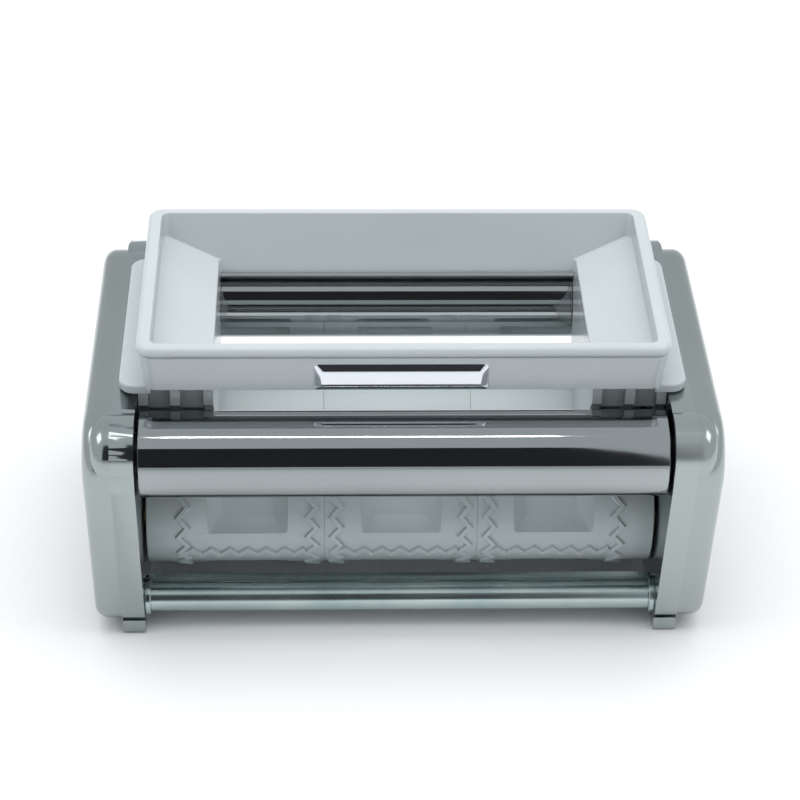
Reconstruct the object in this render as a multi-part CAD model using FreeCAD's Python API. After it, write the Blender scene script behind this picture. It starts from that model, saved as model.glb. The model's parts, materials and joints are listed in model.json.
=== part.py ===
import FreeCAD, Part
import math
import os

# Ravioli attachment for a 150 mm pasta machine, in millimetres.
# X runs along the rollers, +Y to the back, +Z up.
# The origin is on the table, midway between the side frames and between the rollers.

V = FreeCAD.Vector

# --- forming rollers -------------------------------------------------------------------
ROLLER_LENGTH = 170.6        # the three moulded segments together
ROLLER_HEIGHT = 31.0         # roller axes above the table
REAR_RADIUS = 20.8           # plain rear roller
FRONT_BASE_RADIUS = 19.9     # front roller between its cutting ridges
RIDGE_HEIGHT = 1.0
NIP_GAP = 0.3                # between a ridge and the plain roller
SEGMENTS = 3                 # ravioli across
CELLS_ROUND = 3              # ravioli round a roller
CELL_PITCH = 51.45           # along X
CELL_WIDTH = 43.3            # between the middles of a cell's two ridge columns
ROW_ANGLE = 195.7            # first ridge row, seen from +X, from +Y towards +Z

# --- zigzag cutting ridges -------------------------------------------------------------
ROW_TEETH = 7                # per cell, along X
COLUMN_TEETH = 6             # per cell, round the roller
ZIGZAG_SWING = 1.25          # either side of the ridge's middle line
RIDGE_WIDTH = 1.7
RIDGE_ROOT = 1.2             # how deep a ridge is rooted in the roller

# --- ravioli pockets -------------------------------------------------------------------
POCKET_MOUTH = 14.0          # half width where the pocket opens
POCKET_FLOOR = 9.6           # half width of the floor
POCKET_FLOOR_RADIUS = 12.6   # the floor's distance from the roller axis
POCKET_CORNER = 2.6

# --- shafts, gears, bushes -------------------------------------------------------------
SHAFT_RADIUS = 5.0
SHAFT_FLAT = 4.2             # from the axis to the drive flat
SHAFT_FIT = 0.05             # segment or gear on its shaft
JOURNAL_RADIUS = 7.0         # crank end of the front shaft
RUNNING_FIT = 0.05           # shaft in bush
BUSH_WALL = 2.5
BUSH_FLANGE_WIDTH = 2.0
BUSH_FLANGE = 0.6            # flange thickness
BUSH_BARREL = 2.6
BUSH_SEAT_FIT = 0.02
ROLLER_END_FLOAT = 0.3       # roller end to bush flange
CRANK_BORE = 4.2
CRANK_BORE_DEPTH = 15.0
CRANK_SLOT_WIDTH = 2.6
CRANK_SLOT_DEPTH = 4.0
CRANK_END_INSET = 1.2        # shaft end below the cover's outer face
GEAR_TEETH = 28
GEAR_WIDTH = 7.0
GEAR_SIDE_FLOAT = 0.4
PRESSURE_ANGLE = 20.0
GEAR_BACKLASH = 0.2
CLIP_THICKNESS = 0.9
CLIP_DEPTH = 0.8             # groove below the shaft surface
CLIP_REACH = 2.4             # clip above the shaft surface
CLIP_FIT = 0.05
CLIP_GAP_ANGLE = 70.0
SHAFT_STUB = 1.5             # shaft left beyond a clip

# --- chromed dough guides --------------------------------------------------------------
GUIDE_RADIUS = 14.2
GUIDE_WALL = 1.0
GUIDE_Y = 46.0
GUIDE_HEIGHT = 71.3
GUIDE_END_GAP = 0.9          # tube end to side frame
PLUG_DEPTH = 6.0
PLUG_BOSS_RADIUS = 7.0
ROD_RADIUS = 3.0
ROD_FIT = 0.1

# --- side frames and covers ------------------------------------------------------------
BOSS_RADIUS = 17.6
BOSS_Y = 45.4
BOSS_HEIGHT = 71.0
BASE_Y = 46.2                # middles of the bottom corners
BASE_CORNER = 8.0
COVER_BOTTOM = 4.3
FRAME_DEPTH = 7.6            # side frame, along X
FRAME_PLATE = 2.0
FRAME_RIM = 1.5
FRAME_PROUD = 0.5            # frame rim beyond the cover
COVER_DEPTH = 9.2
COVER_WALL = 1.2
COVER_EDGE = 4.5             # rounding of the cover's outer edge
DRUM_RADIUS = 11.6           # the bulge at each upper corner
DRUM_OUT = 6.1               # its middle beyond the boss's, along Y
DRUM_UP = 6.3                # and upwards
DRUM_DEPTH = 6.0             # on the cover, to its domed end
DRUM_ROUND = 5.0
FOOT_LENGTH = 13.0
FOOT_FRONT = 52.8            # the foot's outer end
FOOT_ROUND = 1.5
CRANK_HOLE = 9.5

# --- tie bars, nuts, pillars, deflectors -----------------------------------------------
TIE_RADIUS = 5.0
TIE_Y = 46.0
TIE_HEIGHT = 10.8
TIE_RING = 1.2               # ring beyond the bar's radius
TIE_RING_WIDTH = 2.0
NUT_FLATS = 9.0
NUT_HEIGHT = 4.0
STUD_BEYOND = 0.6
PILLAR_FLATS = 7.0
PILLAR_LOW = 12.3
PILLAR_HIGH = 73.3
SCREW_RADIUS = 1.9
SCREW_HEAD = 3.6
SCREW_LENGTH = 9.0
SCREW_FIT = 0.15
STRIP_THICKNESS = 1.0
STRIP_LOW = (39.6, 6.8)      # Y and Z of the strip's lower edge
STRIP_HIGH = (35.8, 12.2)    # and of its upper edge
STRIP_END_GAP = 0.5
STRIP_TAB = 4.0
STRIP_FIT = 0.1

# --- hopper ----------------------------------------------------------------------------
WING_SEAT = 0.3              # the wings above the side frames
RIM_RISE = 21.1              # heights above the underside of the wings
SKIRT_RISE = 3.6
SLOT_TOP_RISE = 2.5
SLOT_BOTTOM_RISE = 1.1
RIM_X = 85.6
RIM_Y = 43.0
RIM_HEIGHT = 4.0
RIM_CORNER = 5.0
RIM_ROUND = 1.9
RIM_OVERHANG = 0.9
SKIRT_DRAFT = 1.2
HOPPER_WALL = 2.0
BAND_X = 81.0                # the tray's upright end walls
BAND_DEPTH = 7.6
BAND_CORNER = 2.5
MOUTH_Y = 39.4               # the sloping front and back walls at the rim
SLOT_X = 61.7
SLOT_Y = 32.0
SHELF_RISE = 3.4             # the end shelves' lower edges above the slot's
WING_X = 92.0
WING_Y = 38.0
WING_THICKNESS = 3.4
WING_CORNER = 5.0
RIB_THICKNESS = 3.2
RIB_Y = 36.0
RIB_MIDDLE_X = 72.4
RIB_END_GAP = 0.3            # outer rib to side frame
RIB_DROP = 6.0               # lower edges of the short ribs above the guides' middles
WEB_Y = 33.0                 # outer face of the plates between the ribs
WEB_DROP = 9.1
CHEEK_WAIST = (29.0, 30.3)   # Y, and Z above the rollers' axes, where a cheek starts to narrow
CHEEK_SHOULDER = (17.0, 20.8)
CHEEK_TIP = (1.2, 6.3)
DOUGH_GAP = 1.6              # ribs and cheeks to a guide
ROLLER_GAP = 2.0             # cheeks to a roller

# --- nameplate -------------------------------------------------------------------------
PLATE_X = 27.0
PLATE_HEIGHT = 9.9
PLATE_MARGIN = 0.8           # above the skirt's lower edge
PLATE_EDGE = 0.6
PLATE_CROWN = 0.9
PLATE_CORNER = 1.2
PLATE_FIT = 0.1
PLATE_RECESS = 0.8

# --- sizes worked out from those above ---------------------------------------------------
FRONT_TIP_RADIUS = FRONT_BASE_RADIUS + RIDGE_HEIGHT
CENTRE_DISTANCE = FRONT_TIP_RADIUS + REAR_RADIUS + NIP_GAP
ROLLER_Y = CENTRE_DISTANCE / 2
ROLLER_END = ROLLER_LENGTH / 2
FRAME_X = ROLLER_END + ROLLER_END_FLOAT + BUSH_FLANGE
PLATE_OUTER_X = FRAME_X + FRAME_PLATE
SEAM_X = FRAME_X + FRAME_DEPTH
COVER_X = SEAM_X + COVER_DEPTH
FRAME_TOP = BOSS_HEIGHT + BOSS_RADIUS + FRAME_PROUD
GEAR_X = FRAME_X + BUSH_BARREL + GEAR_SIDE_FLOAT
CLIP_X = GEAR_X + GEAR_WIDTH + CLIP_FIT
TIE_END = FRAME_X - TIE_RING_WIDTH
STUD_END = PLATE_OUTER_X + NUT_HEIGHT + STUD_BEYOND
WING_BOTTOM = FRAME_TOP + WING_SEAT
WING_TOP = WING_BOTTOM + WING_THICKNESS
NAMEPLATE_Y = RIM_Y - RIM_OVERHANG - SKIRT_DRAFT / 2
RIM_TOP = WING_BOTTOM + RIM_RISE
RIM_BOTTOM = RIM_TOP - RIM_HEIGHT
BAND_BOTTOM = RIM_TOP - BAND_DEPTH
SKIRT_BOTTOM = WING_BOTTOM + SKIRT_RISE
SLOT_TOP = WING_BOTTOM + SLOT_TOP_RISE
SLOT_BOTTOM = WING_BOTTOM + SLOT_BOTTOM_RISE
SHELF_LOW = SLOT_TOP + SHELF_RISE
RIB_OUTER_X = FRAME_X - RIB_END_GAP - RIB_THICKNESS
PLATE_BOTTOM = SKIRT_BOTTOM + PLATE_MARGIN
PLATE_TOP = PLATE_BOTTOM + PLATE_HEIGHT


def cylinder_x(radius, x0, x1, y=0.0, z=0.0):
    """A round bar along X."""
    return Part.makeCylinder(radius, x1 - x0, V(x0, y, z), V(1, 0, 0))


def box(x0, x1, y0, y1, z0, z1):
    return Part.makeBox(x1 - x0, y1 - y0, z1 - z0, V(x0, y0, z0))


def hexagon_x(flats, x0, x1, y, z):
    """A hexagonal bar along X."""
    corner = flats / math.sqrt(3)
    turns = [math.radians(60 * i) for i in range(6)]
    points = [V(x0, y + corner * math.cos(t), z + corner * math.sin(t)) for t in turns]
    return flat_face(points).extrude(V(x1 - x0, 0, 0))


def mirror_x(shape):
    return shape.mirror(V(0, 0, 0), V(1, 0, 0))


def rounded_rectangle(half_x, half_y, z, corner):
    """A closed wire in a level plane, its corners rounded."""
    across, along = half_x - corner, half_y - corner
    lean = corner * math.sqrt(0.5)
    edges = []
    for sx, sy in ((1, 1), (-1, 1), (-1, -1), (1, -1)):
        on_side = V(sx * half_x, sy * along, z)
        on_end = V(sx * across, sy * half_y, z)
        middle = V(sx * (across + lean), sy * (along + lean), z)
        first, last = (on_side, on_end) if sx * sy > 0 else (on_end, on_side)
        if edges:
            edges.append(Part.makeLine(edges[-1].Vertexes[-1].Point, first))
        edges.append(Part.Arc(first, middle, last).toShape())
    edges.append(Part.makeLine(edges[-1].Vertexes[-1].Point, edges[0].Vertexes[0].Point))
    return Part.Wire(edges)


def rounded_block(half_x, half_y, z0, z1, corner):
    return Part.Face(rounded_rectangle(half_x, half_y, z0, corner)).extrude(V(0, 0, z1 - z0))


def flat_face(points):
    return Part.Face(Part.makePolygon(points + points[:1]))


def tapered_block(bottom, top, corner):
    """A block between two rectangles, each half_x, half_y, z, with its sloping edges rounded."""
    low_x, low_y, low_z = bottom
    top_x, top_y, top_z = top
    # a wedge tapers along Y, so it is stood up afterwards
    block = Part.makeWedge(-low_x, low_z, -low_y, -top_y, -top_x, low_x, top_z, low_y, top_y, top_x)
    block.rotate(V(0, 0, 0), V(1, 0, 0), 90)
    if not corner:
        return block
    sloping = [e for e in block.Edges if e.BoundBox.ZLength > (top_z - low_z) / 2]
    return block.makeFillet(corner, sloping)


def belt_outline(circles, x):
    """A face round a set of circles (y, z, radius), like a belt round pulleys, at one X."""
    normals = []
    for here, there in zip(circles, circles[1:] + circles[:1]):
        dy, dz = there[0] - here[0], there[1] - here[1]
        heading = math.atan2(dz, dy)
        tilt = math.asin((here[2] - there[2]) / math.hypot(dy, dz))
        normals.append(heading - math.pi / 2 + tilt)

    def touch(circle, angle):
        return V(x, circle[0] + circle[2] * math.cos(angle), circle[1] + circle[2] * math.sin(angle))

    edges = []
    for i, circle in enumerate(circles):
        start, end = normals[i - 1], normals[i]
        while end < start:
            end += 2 * math.pi
        arc = Part.Arc(touch(circle, start), touch(circle, (start + end) / 2), touch(circle, end))
        edges.append(arc.toShape())
        following = circles[(i + 1) % len(circles)]
        edges.append(Part.makeLine(touch(circle, end), touch(following, end)))
    return Part.Face(Part.Wire(edges))


def side_profile(x, grow):
    """The side's outline: two bosses at the top, two rounded corners at the bottom."""
    corner = BASE_CORNER + grow
    low = COVER_BOTTOM + BASE_CORNER
    boss = BOSS_RADIUS + grow
    circles = [(BASE_Y, low, corner), (BOSS_Y, BOSS_HEIGHT, boss),
               (-BOSS_Y, BOSS_HEIGHT, boss), (-BASE_Y, low, corner)]
    return belt_outline(circles, x)


def corner_drums(x0, x1, grow):
    """The round bulges at a side's two upper corners."""
    y, z = BOSS_Y + DRUM_OUT, BOSS_HEIGHT + DRUM_UP
    return [cylinder_x(DRUM_RADIUS + grow, x0, x1, side * y, z) for side in (-1, 1)]


def studs():
    """Y and Z of the two guide rods and the two tie bars."""
    return [(side * y, z) for y, z in ((GUIDE_Y, GUIDE_HEIGHT), (TIE_Y, TIE_HEIGHT)) for side in (-1, 1)]


def pillar_places():
    return [(0.0, PILLAR_LOW), (0.0, PILLAR_HIGH)]


def foot(side):
    """One of the two feet of a side frame."""
    outer, inner = side * FOOT_FRONT, side * (FOOT_FRONT - FOOT_LENGTH)
    y0, y1 = min(outer, inner), max(outer, inner)
    block = box(FRAME_X, SEAM_X, y0, y1, 0, COVER_BOTTOM + FRAME_RIM)
    lower = [e for e in block.Edges if e.BoundBox.ZMax < FOOT_ROUND and e.BoundBox.XLength > FOOT_ROUND]
    return block.makeFillet(FOOT_ROUND, lower)


def strip_profile(side, x, fit):
    """The section of a deflector strip, grown all round by a fit."""
    (y0, z0), (y1, z1) = STRIP_LOW, STRIP_HIGH
    length = math.hypot(y1 - y0, z1 - z0)
    along = ((y1 - y0) / length, (z1 - z0) / length)
    across = (-along[1], along[0])
    half = STRIP_THICKNESS / 2 + fit
    corners = []
    for y_end, z_end, run, way in ((y0, z0, -fit, 1), (y0, z0, -fit, -1), (y1, z1, fit, -1), (y1, z1, fit, 1)):
        y = y_end + along[0] * run + across[0] * half * way
        z = z_end + along[1] * run + across[1] * half * way
        corners.append(V(x, side * y, z))
    return flat_face(corners)


def side_frame(side_bore):
    """The right side frame: a dished plate with bearing holes, open to the cover, on two feet."""
    shell = side_profile(FRAME_X, FRAME_PROUD).extrude(V(FRAME_DEPTH, 0, 0))
    shell = shell.fuse([foot(-1), foot(1)] + corner_drums(FRAME_X, SEAM_X, FRAME_PROUD))
    dish = side_profile(PLATE_OUTER_X, FRAME_PROUD - FRAME_RIM).extrude(V(FRAME_DEPTH, 0, 0))
    frame = shell.removeSplitter().cut(dish)
    holes = []
    for side, bore in ((-1, side_bore), (1, SHAFT_RADIUS)):
        seat = bore + RUNNING_FIT + BUSH_WALL + BUSH_SEAT_FIT
        holes.append(cylinder_x(seat, FRAME_X, PLATE_OUTER_X, side * ROLLER_Y, ROLLER_HEIGHT))
    for y, z in studs():
        holes.append(cylinder_x(ROD_RADIUS + ROD_FIT, FRAME_X, PLATE_OUTER_X, y, z))
    for side in (-1, 1):
        slot = strip_profile(side, FRAME_X, STRIP_FIT)
        holes.append(slot.extrude(V(FRAME_PLATE, 0, 0)))
    return frame.cut(Part.makeCompound(holes))


def outer_cover(crank_hole):
    """The right cover: a dished cap with a rounded outer edge."""
    cap = side_profile(SEAM_X, 0).extrude(V(COVER_DEPTH, 0, 0))
    rim = [e for e in cap.Edges if e.BoundBox.XMin > COVER_X - COVER_EDGE]
    cap = cap.makeFillet(COVER_EDGE, rim)
    drum_end = SEAM_X + DRUM_DEPTH
    for drum in corner_drums(SEAM_X, drum_end, 0):
        end = [e for e in drum.Edges if e.BoundBox.XMin > drum_end - DRUM_ROUND]
        cap = cap.fuse(drum.makeFillet(DRUM_ROUND, end))
    hollow = side_profile(SEAM_X, -COVER_WALL).extrude(V(COVER_DEPTH - COVER_WALL, 0, 0))
    inner = [e for e in hollow.Edges if e.BoundBox.XMin > COVER_X - COVER_EDGE]
    hollow = hollow.makeChamfer(COVER_EDGE - COVER_WALL, inner)
    cover = cap.cut(hollow)
    for y, z in pillar_places():
        cover = cover.cut(screw_solid(y, z, SCREW_FIT))
    if crank_hole:
        cover = cover.cut(cylinder_x(CRANK_HOLE, SEAM_X, COVER_X, -ROLLER_Y, ROLLER_HEIGHT))
    return cover


def screw_solid(y, z, fit):
    """A countersunk screw whose head lies flush with the cover."""
    head_height = SCREW_HEAD - SCREW_RADIUS
    shank = cylinder_x(SCREW_RADIUS + fit, COVER_X - SCREW_LENGTH, COVER_X, y, z)
    head = Part.makeCone(SCREW_RADIUS + fit, SCREW_HEAD + fit, head_height,
                         V(COVER_X - head_height, y, z), V(1, 0, 0))
    return shank.fuse(head)


def cover_screws():
    return Part.makeCompound([screw_solid(y, z, 0) for y, z in pillar_places()])


def cover_pillars():
    """Hexagonal posts from the frame plate to the cover, bored for the screws."""
    posts = []
    for y, z in pillar_places():
        post = hexagon_x(PILLAR_FLATS, PLATE_OUTER_X, COVER_X - COVER_WALL, y, z)
        posts.append(post.cut(screw_solid(y, z, SCREW_FIT)))
    return Part.makeCompound(posts)


def frame_nuts():
    """The nuts that hold the guide rods and tie bars, outside the frame plate."""
    nuts = []
    for y, z in studs():
        nut = hexagon_x(NUT_FLATS, PLATE_OUTER_X, PLATE_OUTER_X + NUT_HEIGHT, y, z)
        nuts.append(nut.cut(cylinder_x(ROD_RADIUS + SHAFT_FIT, PLATE_OUTER_X, STUD_END, y, z)))
    return Part.makeCompound(nuts)


def bush(x_sign, y, bore):
    """A flanged bearing bush, its flange on the roller's side of the plate."""
    outer = bore + RUNNING_FIT + BUSH_WALL
    flange = cylinder_x(outer + BUSH_FLANGE_WIDTH, FRAME_X - BUSH_FLANGE, FRAME_X, y, ROLLER_HEIGHT)
    barrel = cylinder_x(outer, FRAME_X, FRAME_X + BUSH_BARREL, y, ROLLER_HEIGHT)
    hole = cylinder_x(bore + RUNNING_FIT, FRAME_X - BUSH_FLANGE, FRAME_X + BUSH_BARREL, y, ROLLER_HEIGHT)
    ring = flange.fuse(barrel).removeSplitter().cut(hole)
    return ring if x_sign > 0 else mirror_x(ring)


def guide_tube(y):
    end = FRAME_X - GUIDE_END_GAP
    tube = cylinder_x(GUIDE_RADIUS, -end, end, y, GUIDE_HEIGHT)
    return tube.cut(cylinder_x(GUIDE_RADIUS - GUIDE_WALL, -end, end, y, GUIDE_HEIGHT))


def guide_plugs(y):
    """Moulded plugs that centre the tube on its rod and space it from the side frames."""
    end = FRAME_X - GUIDE_END_GAP
    plug = cylinder_x(GUIDE_RADIUS - GUIDE_WALL, end - PLUG_DEPTH, end, y, GUIDE_HEIGHT)
    plug = plug.fuse(cylinder_x(PLUG_BOSS_RADIUS, end, FRAME_X, y, GUIDE_HEIGHT)).removeSplitter()
    plug = plug.cut(cylinder_x(ROD_RADIUS + ROD_FIT, end - PLUG_DEPTH, FRAME_X, y, GUIDE_HEIGHT))
    return Part.makeCompound([plug, mirror_x(plug)])


def guide_rod(y):
    return cylinder_x(ROD_RADIUS, -STUD_END, STUD_END, y, GUIDE_HEIGHT)


def tie_bar(y):
    """A round bar with a ring at each end and a threaded stud through each side frame."""
    bar = cylinder_x(TIE_RADIUS, -TIE_END, TIE_END, y, TIE_HEIGHT)
    ring = cylinder_x(TIE_RADIUS + TIE_RING, TIE_END, FRAME_X, y, TIE_HEIGHT)
    stud = cylinder_x(ROD_RADIUS, -STUD_END, STUD_END, y, TIE_HEIGHT)
    return bar.fuse([ring, mirror_x(ring), stud]).removeSplitter()


def deflector(side):
    """A thin strip behind the tie bar, held by a tab in each side frame."""
    end = FRAME_X - STRIP_END_GAP
    strip = strip_profile(side, -end, 0).extrude(V(2 * end, 0, 0))
    reach = FRAME_X + FRAME_PLATE
    tab = strip_profile(side, -reach, 0).extrude(V(2 * reach, 0, 0))
    middle_y = side * (STRIP_LOW[0] + STRIP_HIGH[0]) / 2
    middle_z = (STRIP_LOW[1] + STRIP_HIGH[1]) / 2
    window = box(-reach, reach, middle_y - STRIP_TAB / 2, middle_y + STRIP_TAB / 2,
                 middle_z - STRIP_TAB / 2, middle_z + STRIP_TAB / 2)
    return strip.fuse(tab.common(window)).removeSplitter()


def flatted_bar(radius, flat, x0, x1, y):
    """A round bar with a flat along its top."""
    bar = cylinder_x(radius, x0, x1, y, ROLLER_HEIGHT)
    top = box(x0, x1, y - radius, y + radius, ROLLER_HEIGHT + flat, ROLLER_HEIGHT + radius + 1)
    return bar.cut(top)


def clip_groove(radius, x, y):
    ring = cylinder_x(radius + 1, x, x + CLIP_THICKNESS + CLIP_FIT, y, ROLLER_HEIGHT)
    return ring.cut(cylinder_x(radius - CLIP_DEPTH, x, x + CLIP_THICKNESS + CLIP_FIT, y, ROLLER_HEIGHT))


def shaft_clip(radius, x, y):
    """A spring clip in its groove, open on one side."""
    outer, inner = radius + CLIP_REACH, radius - CLIP_DEPTH + CLIP_FIT
    ring = cylinder_x(outer, x, x + CLIP_THICKNESS, y, ROLLER_HEIGHT)
    ring = ring.cut(cylinder_x(inner, x, x + CLIP_THICKNESS, y, ROLLER_HEIGHT))
    spread = outer * math.tan(math.radians(CLIP_GAP_ANGLE / 2))
    corners = [V(x, y, ROLLER_HEIGHT), V(x, y - spread, ROLLER_HEIGHT - outer),
               V(x, y + spread, ROLLER_HEIGHT - outer)]
    mouth = flat_face(corners).extrude(V(CLIP_THICKNESS, 0, 0))
    return ring.cut(mouth)


def left_end_of_shaft():
    return -(CLIP_X + CLIP_THICKNESS + SHAFT_STUB)


def right_clip_x():
    return FRAME_X + BUSH_BARREL + GEAR_SIDE_FLOAT


def front_shaft():
    """The driven shaft, flatted under the segments and gear, with the crank socket at its right."""
    y = -ROLLER_Y
    left, shoulder, right = left_end_of_shaft(), ROLLER_END, COVER_X - CRANK_END_INSET
    shaft = flatted_bar(SHAFT_RADIUS, SHAFT_FLAT, -FRAME_X - BUSH_BARREL, shoulder, y)
    # the left journal stays round where it turns in its bush
    shaft = shaft.fuse(cylinder_x(SHAFT_RADIUS, -FRAME_X - BUSH_BARREL, -ROLLER_END, y, ROLLER_HEIGHT))
    shaft = shaft.fuse(flatted_bar(SHAFT_RADIUS, SHAFT_FLAT, left, -FRAME_X - BUSH_BARREL, y))
    shaft = shaft.fuse(cylinder_x(JOURNAL_RADIUS, shoulder, right, y, ROLLER_HEIGHT)).removeSplitter()
    shaft = shaft.cut(clip_groove(SHAFT_RADIUS, -CLIP_X - CLIP_THICKNESS - CLIP_FIT, y))
    shaft = shaft.cut(clip_groove(JOURNAL_RADIUS, right_clip_x(), y))
    shaft = shaft.cut(cylinder_x(CRANK_BORE, right - CRANK_BORE_DEPTH, right, y, ROLLER_HEIGHT))
    slot = box(right - CRANK_SLOT_DEPTH, right, y - JOURNAL_RADIUS, y + JOURNAL_RADIUS,
               ROLLER_HEIGHT - CRANK_SLOT_WIDTH / 2, ROLLER_HEIGHT + CRANK_SLOT_WIDTH / 2)
    return shaft.cut(slot)


def rear_shaft():
    y = ROLLER_Y
    left = left_end_of_shaft()
    right = right_clip_x() + CLIP_THICKNESS + SHAFT_STUB
    shaft = cylinder_x(SHAFT_RADIUS, ROLLER_END, right, y, ROLLER_HEIGHT)
    shaft = shaft.fuse(flatted_bar(SHAFT_RADIUS, SHAFT_FLAT, -ROLLER_END, ROLLER_END, y))
    shaft = shaft.fuse(cylinder_x(SHAFT_RADIUS, -FRAME_X - BUSH_BARREL, -ROLLER_END, y, ROLLER_HEIGHT))
    shaft = shaft.fuse(flatted_bar(SHAFT_RADIUS, SHAFT_FLAT, left, -FRAME_X - BUSH_BARREL, y))
    shaft = shaft.removeSplitter()
    shaft = shaft.cut(clip_groove(SHAFT_RADIUS, -CLIP_X - CLIP_THICKNESS - CLIP_FIT, y))
    return shaft.cut(clip_groove(SHAFT_RADIUS, right_clip_x(), y))


def shaft_clips(y, right_radius):
    left = shaft_clip(SHAFT_RADIUS, -CLIP_X - CLIP_THICKNESS, y)
    right = shaft_clip(right_radius, right_clip_x(), y)
    return Part.makeCompound([left, right])


def involute_point(base_radius, radius, turn):
    """A point of an involute flank at a radius, turned about the gear's centre."""
    roll = math.sqrt(max((radius / base_radius) ** 2 - 1, 0))
    angle = roll - math.atan(roll) + turn
    return radius * math.cos(angle), radius * math.sin(angle)


def spur_gear(y, first_tooth):
    """A spur gear on the left shaft end; first_tooth is the angle of one tooth's middle."""
    module = CENTRE_DISTANCE / GEAR_TEETH
    pitch_radius = CENTRE_DISTANCE / 2
    base = pitch_radius * math.cos(math.radians(PRESSURE_ANGLE))
    tip = pitch_radius + module - GEAR_BACKLASH / 2
    root = pitch_radius - 1.25 * module
    at_pitch = math.tan(math.radians(PRESSURE_ANGLE)) - math.radians(PRESSURE_ANGLE)
    half_tooth = math.pi / (2 * GEAR_TEETH) - GEAR_BACKLASH / (4 * pitch_radius)
    start = max(root, base)
    x = -GEAR_X - GEAR_WIDTH

    def place(u, v, turn):
        across = u * math.cos(turn) - v * math.sin(turn)
        up = u * math.sin(turn) + v * math.cos(turn)
        return V(x, y + across, ROLLER_HEIGHT + up)

    points = []
    for tooth in range(GEAR_TEETH):
        turn = first_tooth + 2 * math.pi * tooth / GEAR_TEETH
        flank = [involute_point(base, r, -(half_tooth + at_pitch)) for r in (start, (start + tip) / 2, tip)]
        foot_angle = math.atan2(flank[0][1], flank[0][0])
        flank.insert(0, (root * math.cos(foot_angle), root * math.sin(foot_angle)))
        points += [place(u, v, turn) for u, v in flank]
        points += [place(u, -v, turn) for u, v in flank[::-1]]
    wheel = flat_face(points).extrude(V(GEAR_WIDTH, 0, 0))
    bore = flatted_bar(SHAFT_RADIUS + SHAFT_FIT, SHAFT_FLAT + SHAFT_FIT, x, x + GEAR_WIDTH, y)
    return wheel.cut(bore)


def radial(angle, radius, x):
    """A point at an angle and radius about a roller's own axis."""
    turn = math.radians(angle)
    return V(x, radius * math.cos(turn), radius * math.sin(turn))


def pocket_cutter(angle, mouth_radius):
    """The tapered pocket that forms one ravioli, about a roller's own axis."""
    slope = (POCKET_MOUTH - POCKET_FLOOR) / (mouth_radius - POCKET_FLOOR_RADIUS)
    beyond = 2.0
    outer = POCKET_MOUTH + slope * beyond
    block = tapered_block((POCKET_FLOOR, POCKET_FLOOR, POCKET_FLOOR_RADIUS),
                          (outer, outer, mouth_radius + beyond), POCKET_CORNER)
    # the block stands on +Z, so a pocket at an angle from +Y is turned from there
    block.rotate(V(0, 0, 0), V(1, 0, 0), angle - 90)
    return block


def zigzag_shift(stroke):
    return ZIGZAG_SWING if stroke % 2 else -ZIGZAG_SWING


def ridge_half_width(stroke_length):
    """Half the ridge's width measured square to its run, for strokes that lean over."""
    lean = math.atan2(2 * ZIGZAG_SWING, stroke_length)
    return RIDGE_WIDTH / 2 / math.cos(lean)


def ridge_row(angle):
    """A zigzag ridge along X with a flat crest, one stroke longer than its cell at either end."""
    strokes = 2 * ROW_TEETH
    step = CELL_WIDTH / strokes
    half = ridge_half_width(step)
    swing = ZIGZAG_SWING + half
    crest = math.sqrt(FRONT_TIP_RADIUS ** 2 - swing ** 2)
    root = FRONT_BASE_RADIUS - RIDGE_ROOT
    near, far = [], []
    for k in range(-1, strokes + 2):
        x = -CELL_WIDTH / 2 + k * step
        near.append(V(x, zigzag_shift(k) - half, root))
        far.append(V(x, zigzag_shift(k) + half, root))
    ridge = flat_face(near + far[::-1]).extrude(V(0, 0, crest - root))
    ridge.rotate(V(0, 0, 0), V(1, 0, 0), angle - 90)
    return ridge


def ridge_column(x_middle):
    """A zigzag ridge right round the roller, made of flat facets."""
    strokes = 2 * COLUMN_TEETH * CELLS_ROUND
    step = 360 / strokes
    half = ridge_half_width(math.radians(step) * FRONT_TIP_RADIUS)
    root, crest = FRONT_BASE_RADIUS - RIDGE_ROOT, FRONT_TIP_RADIUS

    def corner(k, side, radius):
        # the swing shrinks with the radius, which keeps the ridge's sides flat
        x = x_middle + side * half + zigzag_shift(k) * radius / crest
        return radial(ROW_ANGLE + (k % strokes) * step, radius, x)

    faces = []
    for k in range(strokes):
        for a, b in (((-1, root), (1, root)), ((-1, crest), (1, crest)),
                     ((-1, root), (-1, crest)), ((1, root), (1, crest))):
            faces.append(flat_face([corner(k, *a), corner(k, *b), corner(k + 1, *b), corner(k + 1, *a)]))
    ring = Part.makeSolid(Part.makeShell(faces))
    if ring.Volume < 0:
        ring.reverse()
    return ring


def cutting_ridges(row_angle):
    """The ridges round one cell column, about the roller's own axis: two columns, with rows between."""
    columns = [ridge_column(side * CELL_WIDTH / 2) for side in (-1, 1)]
    core = cylinder_x(FRONT_BASE_RADIUS, -CELL_PITCH / 2, CELL_PITCH / 2)
    ridges = [column.cut(core) for column in columns]
    for i in range(CELLS_ROUND):
        row = ridge_row(row_angle + 360 / CELLS_ROUND * i).cut(columns + [core])
        # the short ends outside the columns are dropped
        ridges.append(max(row.Solids, key=lambda solid: solid.Volume))
    return Part.makeCompound(ridges)


def roller_segment(x0, x1, x_cell, radius, row_angle):
    """One moulded segment about the roller's own axis, its cell's middle at x_cell."""
    body = cylinder_x(radius, x0, x1)
    cuts = []
    for i in range(CELLS_ROUND):
        cutter = pocket_cutter(row_angle + 360 / CELLS_ROUND * (i + 0.5), radius)
        cutter.translate(V(x_cell, 0, 0))
        cuts.append(cutter)
    bore = cylinder_x(SHAFT_RADIUS + SHAFT_FIT, x0, x1)
    flat = SHAFT_FLAT + SHAFT_FIT
    key = box(x0, x1, -SHAFT_RADIUS - 1, SHAFT_RADIUS + 1, flat, SHAFT_RADIUS + 1)
    cuts.append(bore.cut(key))
    return body.cut(cuts)


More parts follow.
